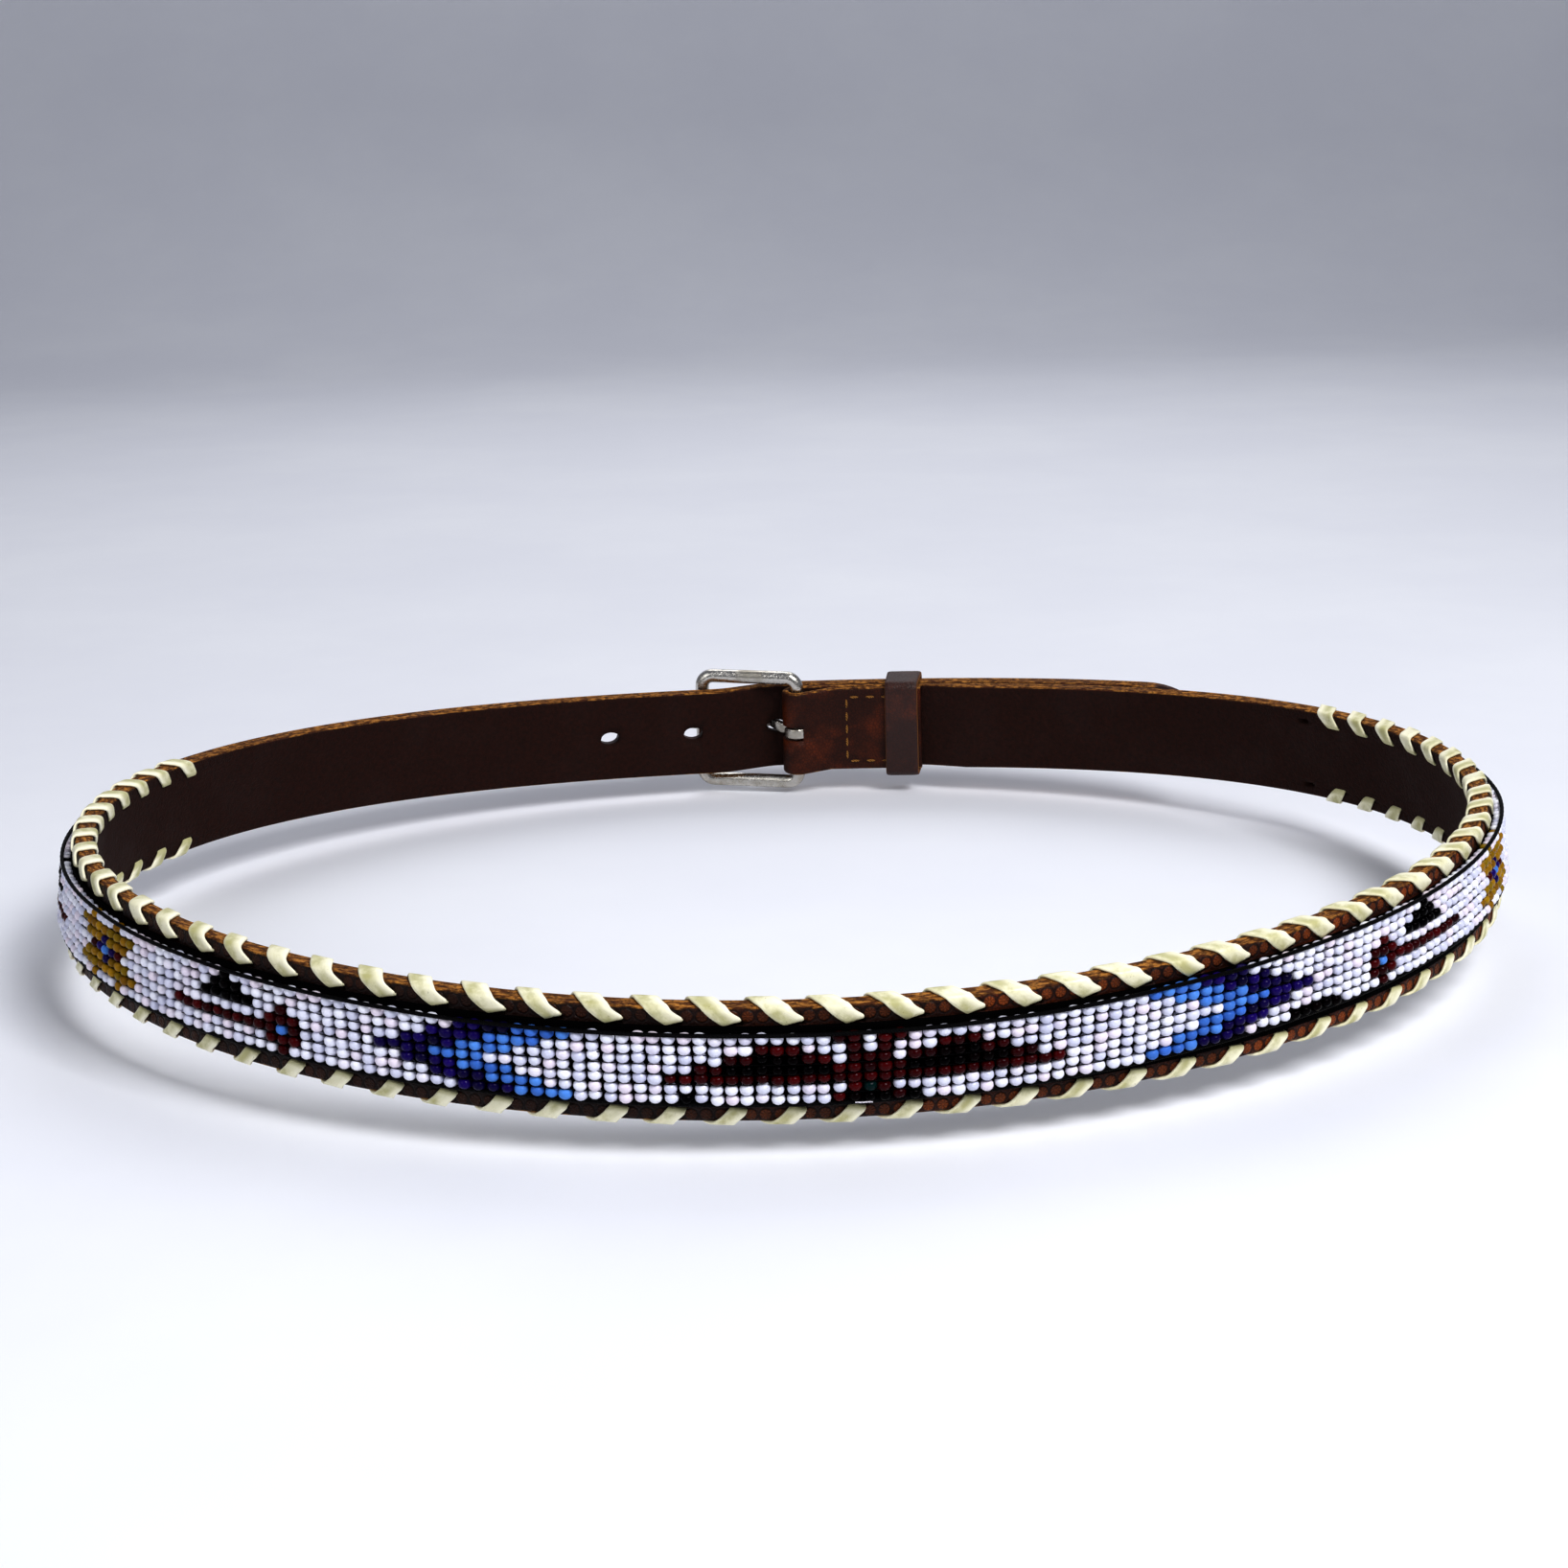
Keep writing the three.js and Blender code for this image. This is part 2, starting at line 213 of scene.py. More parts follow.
def total(tree, first, second):
    return maths(tree, "ADD", first, second)


def difference(tree, first, second):
    return maths(tree, "SUBTRACT", first, second)


def scaled(tree, value, factor, offset):
    return maths(tree, "MULTIPLY_ADD", value, factor, offset)


def step(tree, value, low, high):
    ins = {"Value": value, "From Min": low, "From Max": high}
    return add(tree, "MapRange", ins, interpolation_type="SMOOTHSTEP").outputs[0]


def noise(tree, vector, scale, detail=2.0, roughness=0.5):
    ins = {"Vector": vector, "Scale": scale, "Detail": detail, "Roughness": roughness}
    return add(tree, "TexNoise", ins).outputs[0]


def blend_colour(tree, mask, first, second):
    return add(tree, "Mix", {0: mask, 6: first, 7: second}, data_type="RGBA").outputs[2]


def srgb(red, green, blue):
    linear = [((c / 255 + 0.055) / 1.055) ** 2.4 if c > 10 else c / 255 / 12.92
              for c in (red, green, blue)]
    return (*linear, 1.0)


def new_material(name, **values):
    made = bpy.data.materials.new(name)
    made.use_nodes = True
    shader = made.node_tree.nodes["Principled BSDF"]
    for key, value in values.items():
        shader.inputs[key.replace("_", " ")].default_value = value
    return made, made.node_tree, shader


def object_coordinates(tree):
    return add(tree, "TexCoord").outputs["Object"]


def attribute(tree, name):
    return add(tree, "Attribute", attribute_name=name).outputs["Fac"]


def bump(tree, shader, height, distance):
    made = add(tree, "Bump", {"Height": height, "Distance": distance})
    put(shader.inputs["Normal"], made.outputs[0])


print("node helpers ready")

# %% [markdown]
# Two effects are used by several finishes, so each is a node group. Leather grain is a
# network of tiny pebbles with finer wrinkles across them. Worn patches are soft, uneven
# clouds: where leather was handled it is paler and shinier, and lace and metal dull there.

# %% Shared effects


def new_group(name, inputs, outputs):
    tree = bpy.data.node_groups.new(name, "ShaderNodeTree")
    for label, kind, value in inputs:
        socket = tree.interface.new_socket(label, in_out="INPUT", socket_type=kind)
        if value is not None:
            socket.default_value = value
    for label, kind in outputs:
        tree.interface.new_socket(label, in_out="OUTPUT", socket_type=kind)
    return tree, tree.nodes.new("NodeGroupInput"), tree.nodes.new("NodeGroupOutput")


def grain_group():
    tree, given, result = new_group(
        "Leather grain",
        [("Vector", "NodeSocketVector", None), ("Pebbles per metre", "NodeSocketFloat", 900.0),
         ("Wrinkle", "NodeSocketFloat", 0.4)],
        [("Height", "NodeSocketFloat"), ("Crease", "NodeSocketFloat")])
    vector, density = given.outputs["Vector"], given.outputs["Pebbles per metre"]
    warp = add(tree, "TexNoise", {"Vector": vector, "Scale": 400.0, "Detail": 2.0})
    moved = add(tree, "VectorMath", {0: warp.outputs["Color"], 1: (0.0012,) * 3},
                operation="MULTIPLY").outputs[0]
    bent = add(tree, "VectorMath", {0: vector, 1: moved}, operation="ADD").outputs[0]
    pebbles = add(tree, "TexVoronoi", {"Vector": bent, "Scale": density},
                  feature="DISTANCE_TO_EDGE").outputs["Distance"]
    crease = step(tree, pebbles, 0.0, 0.22)
    fine = noise(tree, vector, product(tree, density, 3.0), 3.0)
    height = total(tree, crease, product(tree, fine, given.outputs["Wrinkle"]))
    put(result.inputs["Height"], height)
    put(result.inputs["Crease"], difference(tree, 1.0, crease))
    return tree


def patch_group():
    tree, given, result = new_group(
        "Worn patches",
        [("Vector", "NodeSocketVector", None), ("Patches per metre", "NodeSocketFloat", 90.0),
         ("Low", "NodeSocketFloat", 0.4), ("High", "NodeSocketFloat", 0.65)],
        [("Mask", "NodeSocketFloat")])
    cloud = noise(tree, given.outputs["Vector"], given.outputs["Patches per metre"], 4.0, 0.6)
    mask = step(tree, cloud, given.outputs["Low"], given.outputs["High"])
    put(result.inputs["Mask"], mask)
    return tree


GRAIN = grain_group()
PATCHES = patch_group()


def from_group(tree, group, *values):
    made = add(tree, "Group", node_tree=group)
    for socket, value in zip(made.inputs, (object_coordinates(tree), *values)):
        put(socket, value)
    return made.outputs


def grain(tree, density, wrinkle):
    made = from_group(tree, GRAIN, density, wrinkle)
    return made["Height"], made["Crease"]


def patches(tree, density, low, high):
    return from_group(tree, PATCHES, density, low, high)["Mask"]


print("node groups:", GRAIN.name, "and", PATCHES.name)

# %% [markdown]
# The floor gets a plain matt white with the faintest mottling, so that it stays quiet.

# %% Floor finish
floor_look, tree, shader = new_material("studio floor", Roughness=0.9)
mottle = blend_colour(tree, patches(tree, 6.0, 0.3, 0.8), (0.80, 0.81, 0.86, 1.0),
                      (0.84, 0.85, 0.89, 1.0))
put(shader.inputs["Base Color"], mottle)
floor.data.materials.append(floor_look)
print("floor finished")

# %% [markdown]
# The strap is cut from one piece of harness leather. Its thick middle is laced and beaded,
# one plain end is the billet, and the other is thinned and folded round the buckle's bar.
# A solid with rounded edges and real holes is wanted, so the strap is a grid of stations
# along it and lines across it. Each grid point has a grain side and a flesh side. Cells
# inside a hole are left out, and every open edge of the grid gets a wall through the leather.

# %% Sizes of the strap
STRAP_HALF, STRAP_THICK, SKIVED, GAP = 12.7, 4.4, 2.2, 0.3
LACE_PITCH, LACE_TURNS, LACE_SHIFT = 12.0, 52, 4.0
LACE_START = LACE_SHIFT - LACE_TURNS * LACE_PITCH / 2
LACE_END = LACE_START + LACE_TURNS * LACE_PITCH
BAR_RADIUS, BAR_BEFORE_BACK, FRAME_LENGTH = 2.0, 13.0, 28.0
TAB_LENGTH, SKIVE_LENGTH, RAMP_LENGTH = 39.0, 12.0, 21.0
FOLD_LEAVE = math.radians(25)
BILLET_PITCH, TIP_PAST_HOLE, TIP_TAPER, TIP_BLUNT = 25.4, 76.0, 16.0, 0.3
PRONG_THICK, PRONG_HALF_WIDTH, HOLE_FROM_BAR = 2.0, 1.6, 6.3
FOLD_RADIUS = BAR_RADIUS + GAP
BAR_AT = GIRTH / 2 - BAR_BEFORE_BACK
BAR_DEPTH = -(SKIVED + FOLD_RADIUS)
OVERLAP = STRAP_THICK + GAP
RAMP_FROM = BAR_AT + FOLD_RADIUS + SKIVED - GAP
PRONG_HOLE = BAR_AT + HOLE_FROM_BAR
TIP_AT = PRONG_HOLE - 2 * BILLET_PITCH - TIP_PAST_HOLE
SLOT_FROM = BAR_AT - FOLD_RADIUS - PRONG_THICK - 2 * GAP
SLOT_HALF = 2.2
EDGE_RADIUS = 0.85
print("lacing runs from", LACE_START, "to", LACE_END, "mm")

# %% Stations along the strap
HOLE = {"half_length": 2.05, "low": 8.75, "high": 10.15}
BILLET_HOLE = {"half_length": 3.0, "half_width": 2.2}
FLESH_SKEW, PLAIN_STEP = 2.5, 2.6


def ramp(value, low, high):
    t = np.clip((value - low) / (high - low), 0, 1)
    return t * t * (3 - 2 * t)


def outer_stations():
    billet_holes = [PRONG_HOLE - GIRTH + (i - 2) * BILLET_PITCH for i in range(5)]
    tip = TIP_AT - GIRTH
    stops = list(tip + TIP_TAPER * (1 - np.cos(np.linspace(0, math.pi / 2, 14))))
    plain = np.arange(tip + TIP_TAPER, LACE_START - 8, PLAIN_STEP)
    near = [abs(plain - hole) < 4.2 for hole in billet_holes]
    stops += list(plain[~np.any(near, axis=0)])
    around = np.array([-1.25, -1.0, -0.75, -0.4, 0.0, 0.4, 0.75, 1.0, 1.25])
    stops += [hole + x * BILLET_HOLE["half_length"] for hole in billet_holes for x in around]
    around = np.array([-3.2, -2.05, -1.6, -0.8, 0, 0.8, 1.6, 2.05, 3.2, 4.6, 6.0, 7.4])
    stops += [LACE_START + i * LACE_PITCH + x for i in range(LACE_TURNS + 1) for x in around]
    stops += list(np.arange(LACE_END + 9, SLOT_FROM - 1, PLAIN_STEP))
    stops += [SLOT_FROM, SLOT_FROM + 1.6, SLOT_FROM + 3.3, BAR_AT]
    return np.array(sorted(stops)), billet_holes


stations, billet_holes = outer_stations()
out = OVERLAP * (1 - ramp(stations, RAMP_FROM - GIRTH, RAMP_FROM - GIRTH + RAMP_LENGTH))
skive_to = BAR_AT - TAB_LENGTH
thick = STRAP_THICK - (STRAP_THICK - SKIVED) * np.clip(
    (stations - skive_to + SKIVE_LENGTH) / SKIVE_LENGTH, 0, 1)
from_tip = np.clip((stations - TIP_AT + GIRTH) / TIP_TAPER, 0, 1)
half = STRAP_HALF * (TIP_BLUNT + (1 - TIP_BLUNT) * np.sqrt(1 - (1 - from_tip) ** 2))
print(len(stations), "stations up to the fold")

# %% [markdown]
# At the fold the leather turns half way round the bar and a little further, then lies back
# along its own flesh side. There a station is a point on the grain side and a heading.

# %% Fold and grid
grain_radius = FOLD_RADIUS + SKIVED
fold_turn = math.pi + FOLD_LEAVE
fold = np.linspace(0, fold_turn, 27)[1:]
leave_a = BAR_DEPTH - FOLD_RADIUS * math.cos(FOLD_LEAVE)
leave_s = BAR_AT - FOLD_RADIUS * math.sin(FOLD_LEAVE)
tab_flesh = -SKIVED - GAP
meet = leave_s - (tab_flesh - leave_a) / math.tan(FOLD_LEAVE)
miter = SKIVED * math.tan(FOLD_LEAVE / 2)
tab = np.linspace(meet - miter - 1.0, skive_to + 1.5, 16)
lines = np.array([0, 1.1, 2.2, 4.4, 6.6, 8.0, 8.75, 9.1, 9.45, 9.8, 10.15, 10.6, 11.1, 11.6,
                  12.0, 12.3, 12.52, 12.65, 12.7])
lines = np.concatenate([-lines[:0:-1], lines])
inset = np.clip(np.abs(lines) - (STRAP_HALF - EDGE_RADIUS), 0, EDGE_RADIUS)
sink = EDGE_RADIUS - np.sqrt(EDGE_RADIUS ** 2 - inset ** 2)

path_s = np.concatenate([stations, BAR_AT + grain_radius * np.sin(fold), [meet - miter], tab])
path_a = np.concatenate([out, BAR_DEPTH + grain_radius * np.cos(fold),
                         np.full(len(tab) + 1, tab_flesh - SKIVED)])
heading = np.concatenate([np.zeros(len(stations)), -fold, [-math.pi - FOLD_LEAVE / 2],
                          np.full(len(tab), -math.pi)])
path_thick = np.concatenate([thick, np.full(len(fold), SKIVED), [math.hypot(SKIVED, miter)],
                             np.full(len(tab), SKIVED)])
path_half = np.concatenate([half, np.full(len(fold) + 1 + len(tab), STRAP_HALF)])
walked = np.concatenate([[0], np.cumsum(np.hypot(np.diff(path_s), np.diff(path_a)))])
walked += path_s[0]
print("grid of", len(path_s), "stations and", len(lines), "lines")

# %% Holes in the grid


def cells_near(centre, half_length, low, high):
    middle_s = (path_s[:-1] + path_s[1:]) / 2
    middle_b = (lines[:-1] + lines[1:]) / 2
    along = np.abs(middle_s - centre) < half_length
    along[len(stations) - 1:] = False
    across = (middle_b > low) & (middle_b < high)
    return np.ix_(np.nonzero(along)[0], np.nonzero(across)[0])


def rounded_hole(grid_s, grid_b, centre, middle, half_length, half_width, power):
    x = (grid_s - centre) / half_length
    y = (grid_b - middle) / half_width
    rim = np.isclose(np.maximum(np.abs(x), np.abs(y)), 1.0, atol=0.01)
    reach = (np.abs(x) ** power + np.abs(y) ** power) ** (1 / power)
    grid_s[rim] = centre + (x / reach)[rim] * half_length
    grid_b[rim] = middle + (y / reach)[rim] * half_width


grid_s, grid_b = np.meshgrid(path_s, lines, indexing="ij")
flat_part = grid_s[:len(stations)], grid_b[:len(stations)]
kept = np.ones((len(path_s) - 1, len(lines) - 1), bool)
for i in range(LACE_TURNS + 1):
    centre = LACE_START + i * LACE_PITCH
    for side in (1, -1):
        low, high = sorted((side * HOLE["low"], side * HOLE["high"]))
        kept[cells_near(centre, HOLE["half_length"], low, high)] = False
        rounded_hole(*flat_part, centre, (low + high) / 2, HOLE["half_length"],
                     (high - low) / 2, 5)
for centre in billet_holes:
    width = BILLET_HOLE["half_width"]
    kept[cells_near(centre, BILLET_HOLE["half_length"], -width, width)] = False
    rounded_hole(*flat_part, centre, 0, BILLET_HOLE["half_length"], width, 2)
in_slot = np.minimum(path_s[:-1], path_s[1:]) > SLOT_FROM - 0.01
in_middle = np.abs(lines[:-1] + lines[1:]) / 2 < SLOT_HALF
kept[np.ix_(in_slot, in_middle)] = False
print("cells left out for holes:", int((~kept).sum()))

# %% Strap mesh
GROOVE_AT, GROOVE_DEPTH = 9.1, 0.22
scale = (path_half / STRAP_HALF)[:, None]
down = np.minimum(sink[None, :], path_thick[:, None] * 0.45)
laced = ramp(path_s, LACE_START - 30, LACE_START - 8)
laced = laced * (1 - ramp(path_s, LACE_END + 8, LACE_END + 30))
laced[len(stations):] = 0
groove = GROOVE_DEPTH * laced[:, None] * np.isclose(np.abs(lines), GROOVE_AT)[None, :]


def leather_point(depth, skew=0.0):
    s = grid_s + depth * np.sin(heading)[:, None] + skew
    a = path_a[:, None] - depth * np.cos(heading)[:, None]
    return place(s, grid_b * scale, a)


outer_depth = down + groove
inner_depth = path_thick[:, None] - down
outer = leather_point(outer_depth)
inner = leather_point(inner_depth, FLESH_SKEW * laced[:, None])
count = outer.shape[0] * outer.shape[1]
index = np.arange(count).reshape(outer.shape[:2])


def open_edges(kept):
    # Each edge of a kept cell that no other kept cell shares, walked with the cell on its left
    padded = np.pad(kept, 1)
    corner = {"s0b0": index[:-1, :-1], "s1b0": index[1:, :-1],
              "s1b1": index[1:, 1:], "s0b1": index[:-1, 1:]}
    sides = [("s0b0", "s1b0", padded[1:-1, :-2]), ("s1b0", "s1b1", padded[2:, 1:-1]),
             ("s1b1", "s0b1", padded[1:-1, 2:]), ("s0b1", "s0b0", padded[:-2, 1:-1])]
    pairs = [np.stack([corner[p][kept & ~beyond], corner[q][kept & ~beyond]], -1)
             for p, q, beyond in sides]
    return np.concatenate(pairs)


cells = grid_quads(index)[kept]
edges = open_edges(kept)
walls = np.stack([edges[:, 1], edges[:, 0], edges[:, 0] + count, edges[:, 1] + count], -1)
strap_faces = np.concatenate([cells, cells[:, ::-1] + count, walls])
used, renamed = np.unique(strap_faces, return_inverse=True)
strap_points = np.concatenate([outer.reshape(-1, 3), inner.reshape(-1, 3)])[used]
strap = mesh_object("leather_strap", strap_points, renamed.reshape(-1, 4).tolist())


def store(obj, name, values):
    made = obj.data.attributes.new(name, "FLOAT", "POINT")
    made.data.foreach_set("value", np.ascontiguousarray(values, dtype=np.float32).ravel())


store(strap, "along", np.tile(np.broadcast_to(walked[:, None], grid_b.shape).ravel(), 2)[used])
store(strap, "across", np.tile((grid_b * scale).ravel(), 2)[used])
store(strap, "depth", np.concatenate([outer_depth.ravel(), inner_depth.ravel()])[used])
store(strap, "laced", np.tile(np.broadcast_to(laced[:, None], grid_b.shape).ravel(), 2)[used])
print("strap:", len(strap.data.polygons), "faces")

# %% [markdown]
# Harness leather is dyed dark on its grain side and left raw inside, so its finish changes
# from face to edge to flesh. The grid points carry their place in the leather as plain
# attributes, and the material reads those: the width gives the edge, the depth the flesh
# side. The margins are tooled with a row of small round flowers, each a ring with petals,
# and shade is painted into the face on the left of the front, where the light falls weaker.

# %% Stamped flowers
STAMP = {"pitch": 3.0, "row": 10.95, "ring": 1.4, "petals": 8.0}


def stamps(tree):
    along = maths(tree, "DIVIDE", attribute(tree, "along"), STAMP["pitch"])
    x = product(tree, difference(tree, maths(tree, "FRACT", along), 0.5), STAMP["pitch"])
    y = difference(tree, maths(tree, "ABSOLUTE", attribute(tree, "across")), STAMP["row"])
    radius = maths(tree, "SQRT", total(tree, product(tree, x, x), product(tree, y, y)))
    petals = maths(tree, "COSINE", product(tree, maths(tree, "ARCTAN2", y, x), STAMP["petals"]))
    from_ring = maths(tree, "ABSOLUTE", difference(tree, radius, STAMP["ring"]))
    petal = product(tree, step(tree, radius, 1.35, 0.95), scaled(tree, petals, 0.28, 0.65))
    raised = maths(tree, "MAXIMUM", petal, step(tree, radius, 0.45, 0.15))
    on = attribute(tree, "laced")
    return product(tree, step(tree, from_ring, 0.35, 0.05), on), product(tree, raised, on)


leather, tree, shader = new_material("harness leather", Roughness=0.5, Specular_IOR_Level=0.22)
rim, raised = stamps(tree)
print("stamped flowers of", STAMP["pitch"], "mm")

# %% Leather face
DARK_FROM, DARK_TO, DARK_FADE = 60.0, -60.0, (-330.0, -250.0)
height, crease = grain(tree, 1100.0, 0.5)
worn = patches(tree, 60.0, 0.42, 0.7)
face = blend_colour(tree, worn, srgb(54, 20, 7), srgb(100, 42, 14))
face = blend_colour(tree, product(tree, crease, 0.5), face, srgb(14, 4, 2))
rubbed = scaled(tree, worn, 0.5, 0.3)
face = blend_colour(tree, product(tree, raised, rubbed), face, srgb(178, 92, 32))
face = blend_colour(tree, product(tree, rim, 0.6), face, srgb(14, 4, 2))
# Painted shade: the grain side darkens on the left of the front, where the light falls weaker, and
# fades in and out along the strap.
painted_shade_left = product(tree, step(tree, attribute(tree, "along"), DARK_FROM, DARK_TO),
                    step(tree, attribute(tree, "along"), *DARK_FADE))
face = blend_colour(tree, product(tree, painted_shade_left, 0.86), face, srgb(18, 3, 1))
print("grain side coloured")

# %% Raw edge and flesh side
fuzz = noise(tree, object_coordinates(tree), 900.0, 4.0)
across = maths(tree, "ABSOLUTE", attribute(tree, "across"))
fibre_place = add(tree, "CombineXYZ", {"X": product(tree, attribute(tree, "along"), 0.3),
                                       "Y": attribute(tree, "depth"), "Z": across}).outputs[0]
fibre = noise(tree, fibre_place, 1.1, 5.0, 0.65)
ragged = scaled(tree, fibre, 1.1, product(tree, fuzz, 0.3))
edge = step(tree, total(tree, across, ragged), 12.9, 13.3)
raw = blend_colour(tree, step(tree, fibre, 0.42, 0.62), srgb(88, 48, 16), srgb(184, 130, 62))
raw = blend_colour(tree, product(tree, step(tree, fuzz, 0.5, 0.62), 0.6), raw, srgb(40, 17, 5))
raw = blend_colour(tree, product(tree, worn, 0.35), raw, srgb(64, 29, 9))
flesh_depth = total(tree, attribute(tree, "depth"), product(tree, fuzz, 0.3))
from_edge = difference(tree, 12.9, across)
flesh = product(tree, step(tree, flesh_depth, 1.9, 2.3), step(tree, from_edge, 0.3, 0.7))
suede = blend_colour(tree, fuzz, srgb(17, 5, 2), srgb(52, 18, 7))
colour = blend_colour(tree, edge, face, raw)
colour = blend_colour(tree, flesh, colour, suede)
put(shader.inputs["Base Color"], colour)
dull = maths(tree, "MAXIMUM", edge, flesh)
rough = scaled(tree, dull, 0.34, scaled(tree, worn, -0.12, 0.5))
put(shader.inputs["Roughness"], rough)
tooled = difference(tree, product(tree, raised, 0.8), rim)
relief = total(tree, product(tree, height, 0.35), tooled)
relief = total(tree, relief, product(tree, product(tree, fuzz, dull), 2.0))
bump(tree, shader, relief, 0.00016)
strap.data.materials.append(leather)
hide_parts("strap")
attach(strap, "root")

# %% [markdown]
# The beadwork is loomed: long warp threads run between the rows of beads, and a weft thread
# carries each column across. So a bead's hole points up the strap, and a bead looks like a
# small squat barrel. The strip is sewn on a narrow band of black cloth. The band is a
# simple loft of one cross section along the strap, and so is every thread on it.

# %% Lofts along the belt
STRIP_FROM, STRIP_TO = LACE_START - 5.0, LACE_END + 5.0


def circle(sides):
    return np.linspace(0, 2 * math.pi, sides, endpoint=False)


def ring_quads(here, after):
    corners = [here, np.roll(here, -1, 1), np.roll(after, -1, 1), after]
    return np.stack(corners, -1).reshape(-1, 4)


def loft(name, sections, ring=False):
    index = np.arange(sections.shape[0] * sections.shape[1]).reshape(sections.shape[:2])
    if ring:
        faces = ring_quads(index, np.roll(index, -1, axis=0)).tolist()
    else:
        faces = ring_quads(index[:-1], index[1:]).tolist()
        faces += [index[0, ::-1].tolist(), index[-1].tolist()]
    made = mesh_object(name, sections.reshape(-1, 3), faces)
    # A body whose faces point inwards has a negative volume
    body = bmesh.new()
    body.from_mesh(made.data)
    if body.calc_volume(signed=True) < 0:
        made.data.flip_normals()
    body.free()
    return made


def band(name, stops, profile):
    b, a = np.array(profile, float).T
    return loft(name, place(np.asarray(stops)[:, None], b[None, :], a[None, :]))


def thread(name, s, b, a, radius, sides=8):
    angle = circle(sides)
    s, b, a = np.broadcast_arrays(s, b, a)
    return loft(name, place(s[:, None], b[:, None] + radius * np.cos(angle),
                            a[:, None] + radius * np.sin(angle)))


CLOTH_HALF = 8.95
HALF_PROFILE = [(CLOTH_HALF, 0.06), (8.9, 0.5), (8.6, 0.66), (7.6, 0.72), (3.0, 0.72)]
CLOTH_PROFILE = HALF_PROFILE + [(-b, a) for b, a in HALF_PROFILE[::-1]]
cloth = band("bead_cloth", np.arange(STRIP_FROM, STRIP_TO + 1, 2.0), CLOTH_PROFILE)
print("cloth band:", len(cloth.data.polygons), "faces")

# %% Bead layout
ROWS, ROW_PITCH = 7, 2.2
BEAD_OUT = 1.62
MOTIF_CENTRE = 6.7
COLUMN_PITCH, COLUMN_SLACK = 3.005, 0.03
LAST_COLUMN = 104
SEWN_HIGH, CLIMB, CLIMB_UP, CLIMB_DOWN = 0.15, 1.45, (20, 110), (200, 290)


def column_at(c):
    return MOTIF_CENTRE + c * (COLUMN_PITCH - COLUMN_SLACK * np.sign(c))


def row_at(r):
    return ((ROWS + 1) / 2 - r) * ROW_PITCH


def drift(s):
    # The strip was sewn on by eye and climbs a little on one side
    return SEWN_HIGH + CLIMB * ramp(s, *CLIMB_UP) * (1 - ramp(s, *CLIMB_DOWN))


print((2 * LAST_COLUMN + 1) * ROWS, "beads in", 2 * LAST_COLUMN + 1, "columns")

# %% [markdown]
# The design is worked on a white ground and mirrors about the middle of the front. It has a
# spread bird in the middle, then on each side a nested arrow head, a feathered shaft and a
# stepped gold star. Past the star it turns back in mirror order. Each motif is a small
# rule or a short chart, one string a column and one letter a bead. A few beads break the
# mirror, as slips of the hand do.

# %% Pattern
WHITE, RED, BLACK, NAVY, BLUE, GOLD, TEAL = "wrknbgt"
STAR_COLUMN, HEAD_COLUMN, TIP_COLUMN = 61, 41, 33
SLIPS = {(-3, 7): WHITE, (-12, 7): BLACK, **{(c, 7): BLACK for c in range(32, 37)}}
BIRD = ["wwrrrtk", "rrrrrrk", "rwwrrwr", "wwrkrwk", "wwrkrww", "wrkkrww", "wrkkrww",
        "wrkkrww", "wwrkrww", "wwrkrww", "wwwrrww", "wwwrrww", "wwwwrww", "wwwwrww"]


def arrow_head(c, r):
    inward = TIP_COLUMN - c - 2 * abs(r - 4)
    if 0 <= inward < 4:
        return NAVY
    return BLUE if 4 <= inward < 8 else WHITE


def shaft(c, r):
    k = c - HEAD_COLUMN
    if k == 0 and r == 5:
        return BLUE
    if (abs(k) <= 1 and abs(k) + abs(r - 5) <= 2) or (r == 5 and 2 <= k <= 10):
        return RED
    return BLACK if r <= 3 and abs(k - 5) <= r - 1 else WHITE


def star(c, r):
    k = abs(c - STAR_COLUMN)
    if k + abs(r - 4) == 0:
        return BLUE
    if k + abs(r - 4) == 1:
        return NAVY
    if r == 4:
        return RED if k == 2 else WHITE
    reach = {1: (2, 2), 2: (0, 4), 3: (1, 3)}[min(r, 8 - r)]
    return GOLD if reach[0] <= k <= reach[1] else WHITE


def bead_colour(c, r):
    if (c, r) in SLIPS:
        return SLIPS[c, r]
    c = abs(c)
    c = 2 * STAR_COLUMN - c if c > STAR_COLUMN else c
    if c < len(BIRD):
        return BIRD[c][r - 1]
    if c <= TIP_COLUMN:
        return arrow_head(c, r)
    return shaft(c, r) if c < STAR_COLUMN - 8 else star(c, r)


for r in range(1, ROWS + 1):
    print("".join(bead_colour(c, r) for c in range(STAR_COLUMN + 6)).replace("w", "."))

# %% Bead mesh
BEAD_PROFILE = [(-1.0, 0.55), (-0.9, 1.0), (-0.53, 1.33), (0.0, 1.45), (0.53, 1.33),
                (0.9, 1.0), (1.0, 0.55)]
BEAD_SIDES = 12
BEAD_NAMES = {WHITE: "white", RED: "dark_red", BLACK: "black", NAVY: "navy", BLUE: "light_blue",
              GOLD: "gold", TEAL: "teal"}


def bead_template():
    angle = circle(BEAD_SIDES)
    rings = [np.stack([r * np.cos(angle), np.full(BEAD_SIDES, h), r * np.sin(angle)], -1)
             for h, r in BEAD_PROFILE]
    index = np.arange(len(BEAD_PROFILE) * BEAD_SIDES).reshape(-1, BEAD_SIDES)
    quads = np.stack([index[:-1], index[1:], np.roll(index[1:], -1, 1),
                      np.roll(index[:-1], -1, 1)], -1).reshape(-1, 4)
    return np.concatenate(rings), quads, [index[0].tolist(), index[-1, ::-1].tolist()]


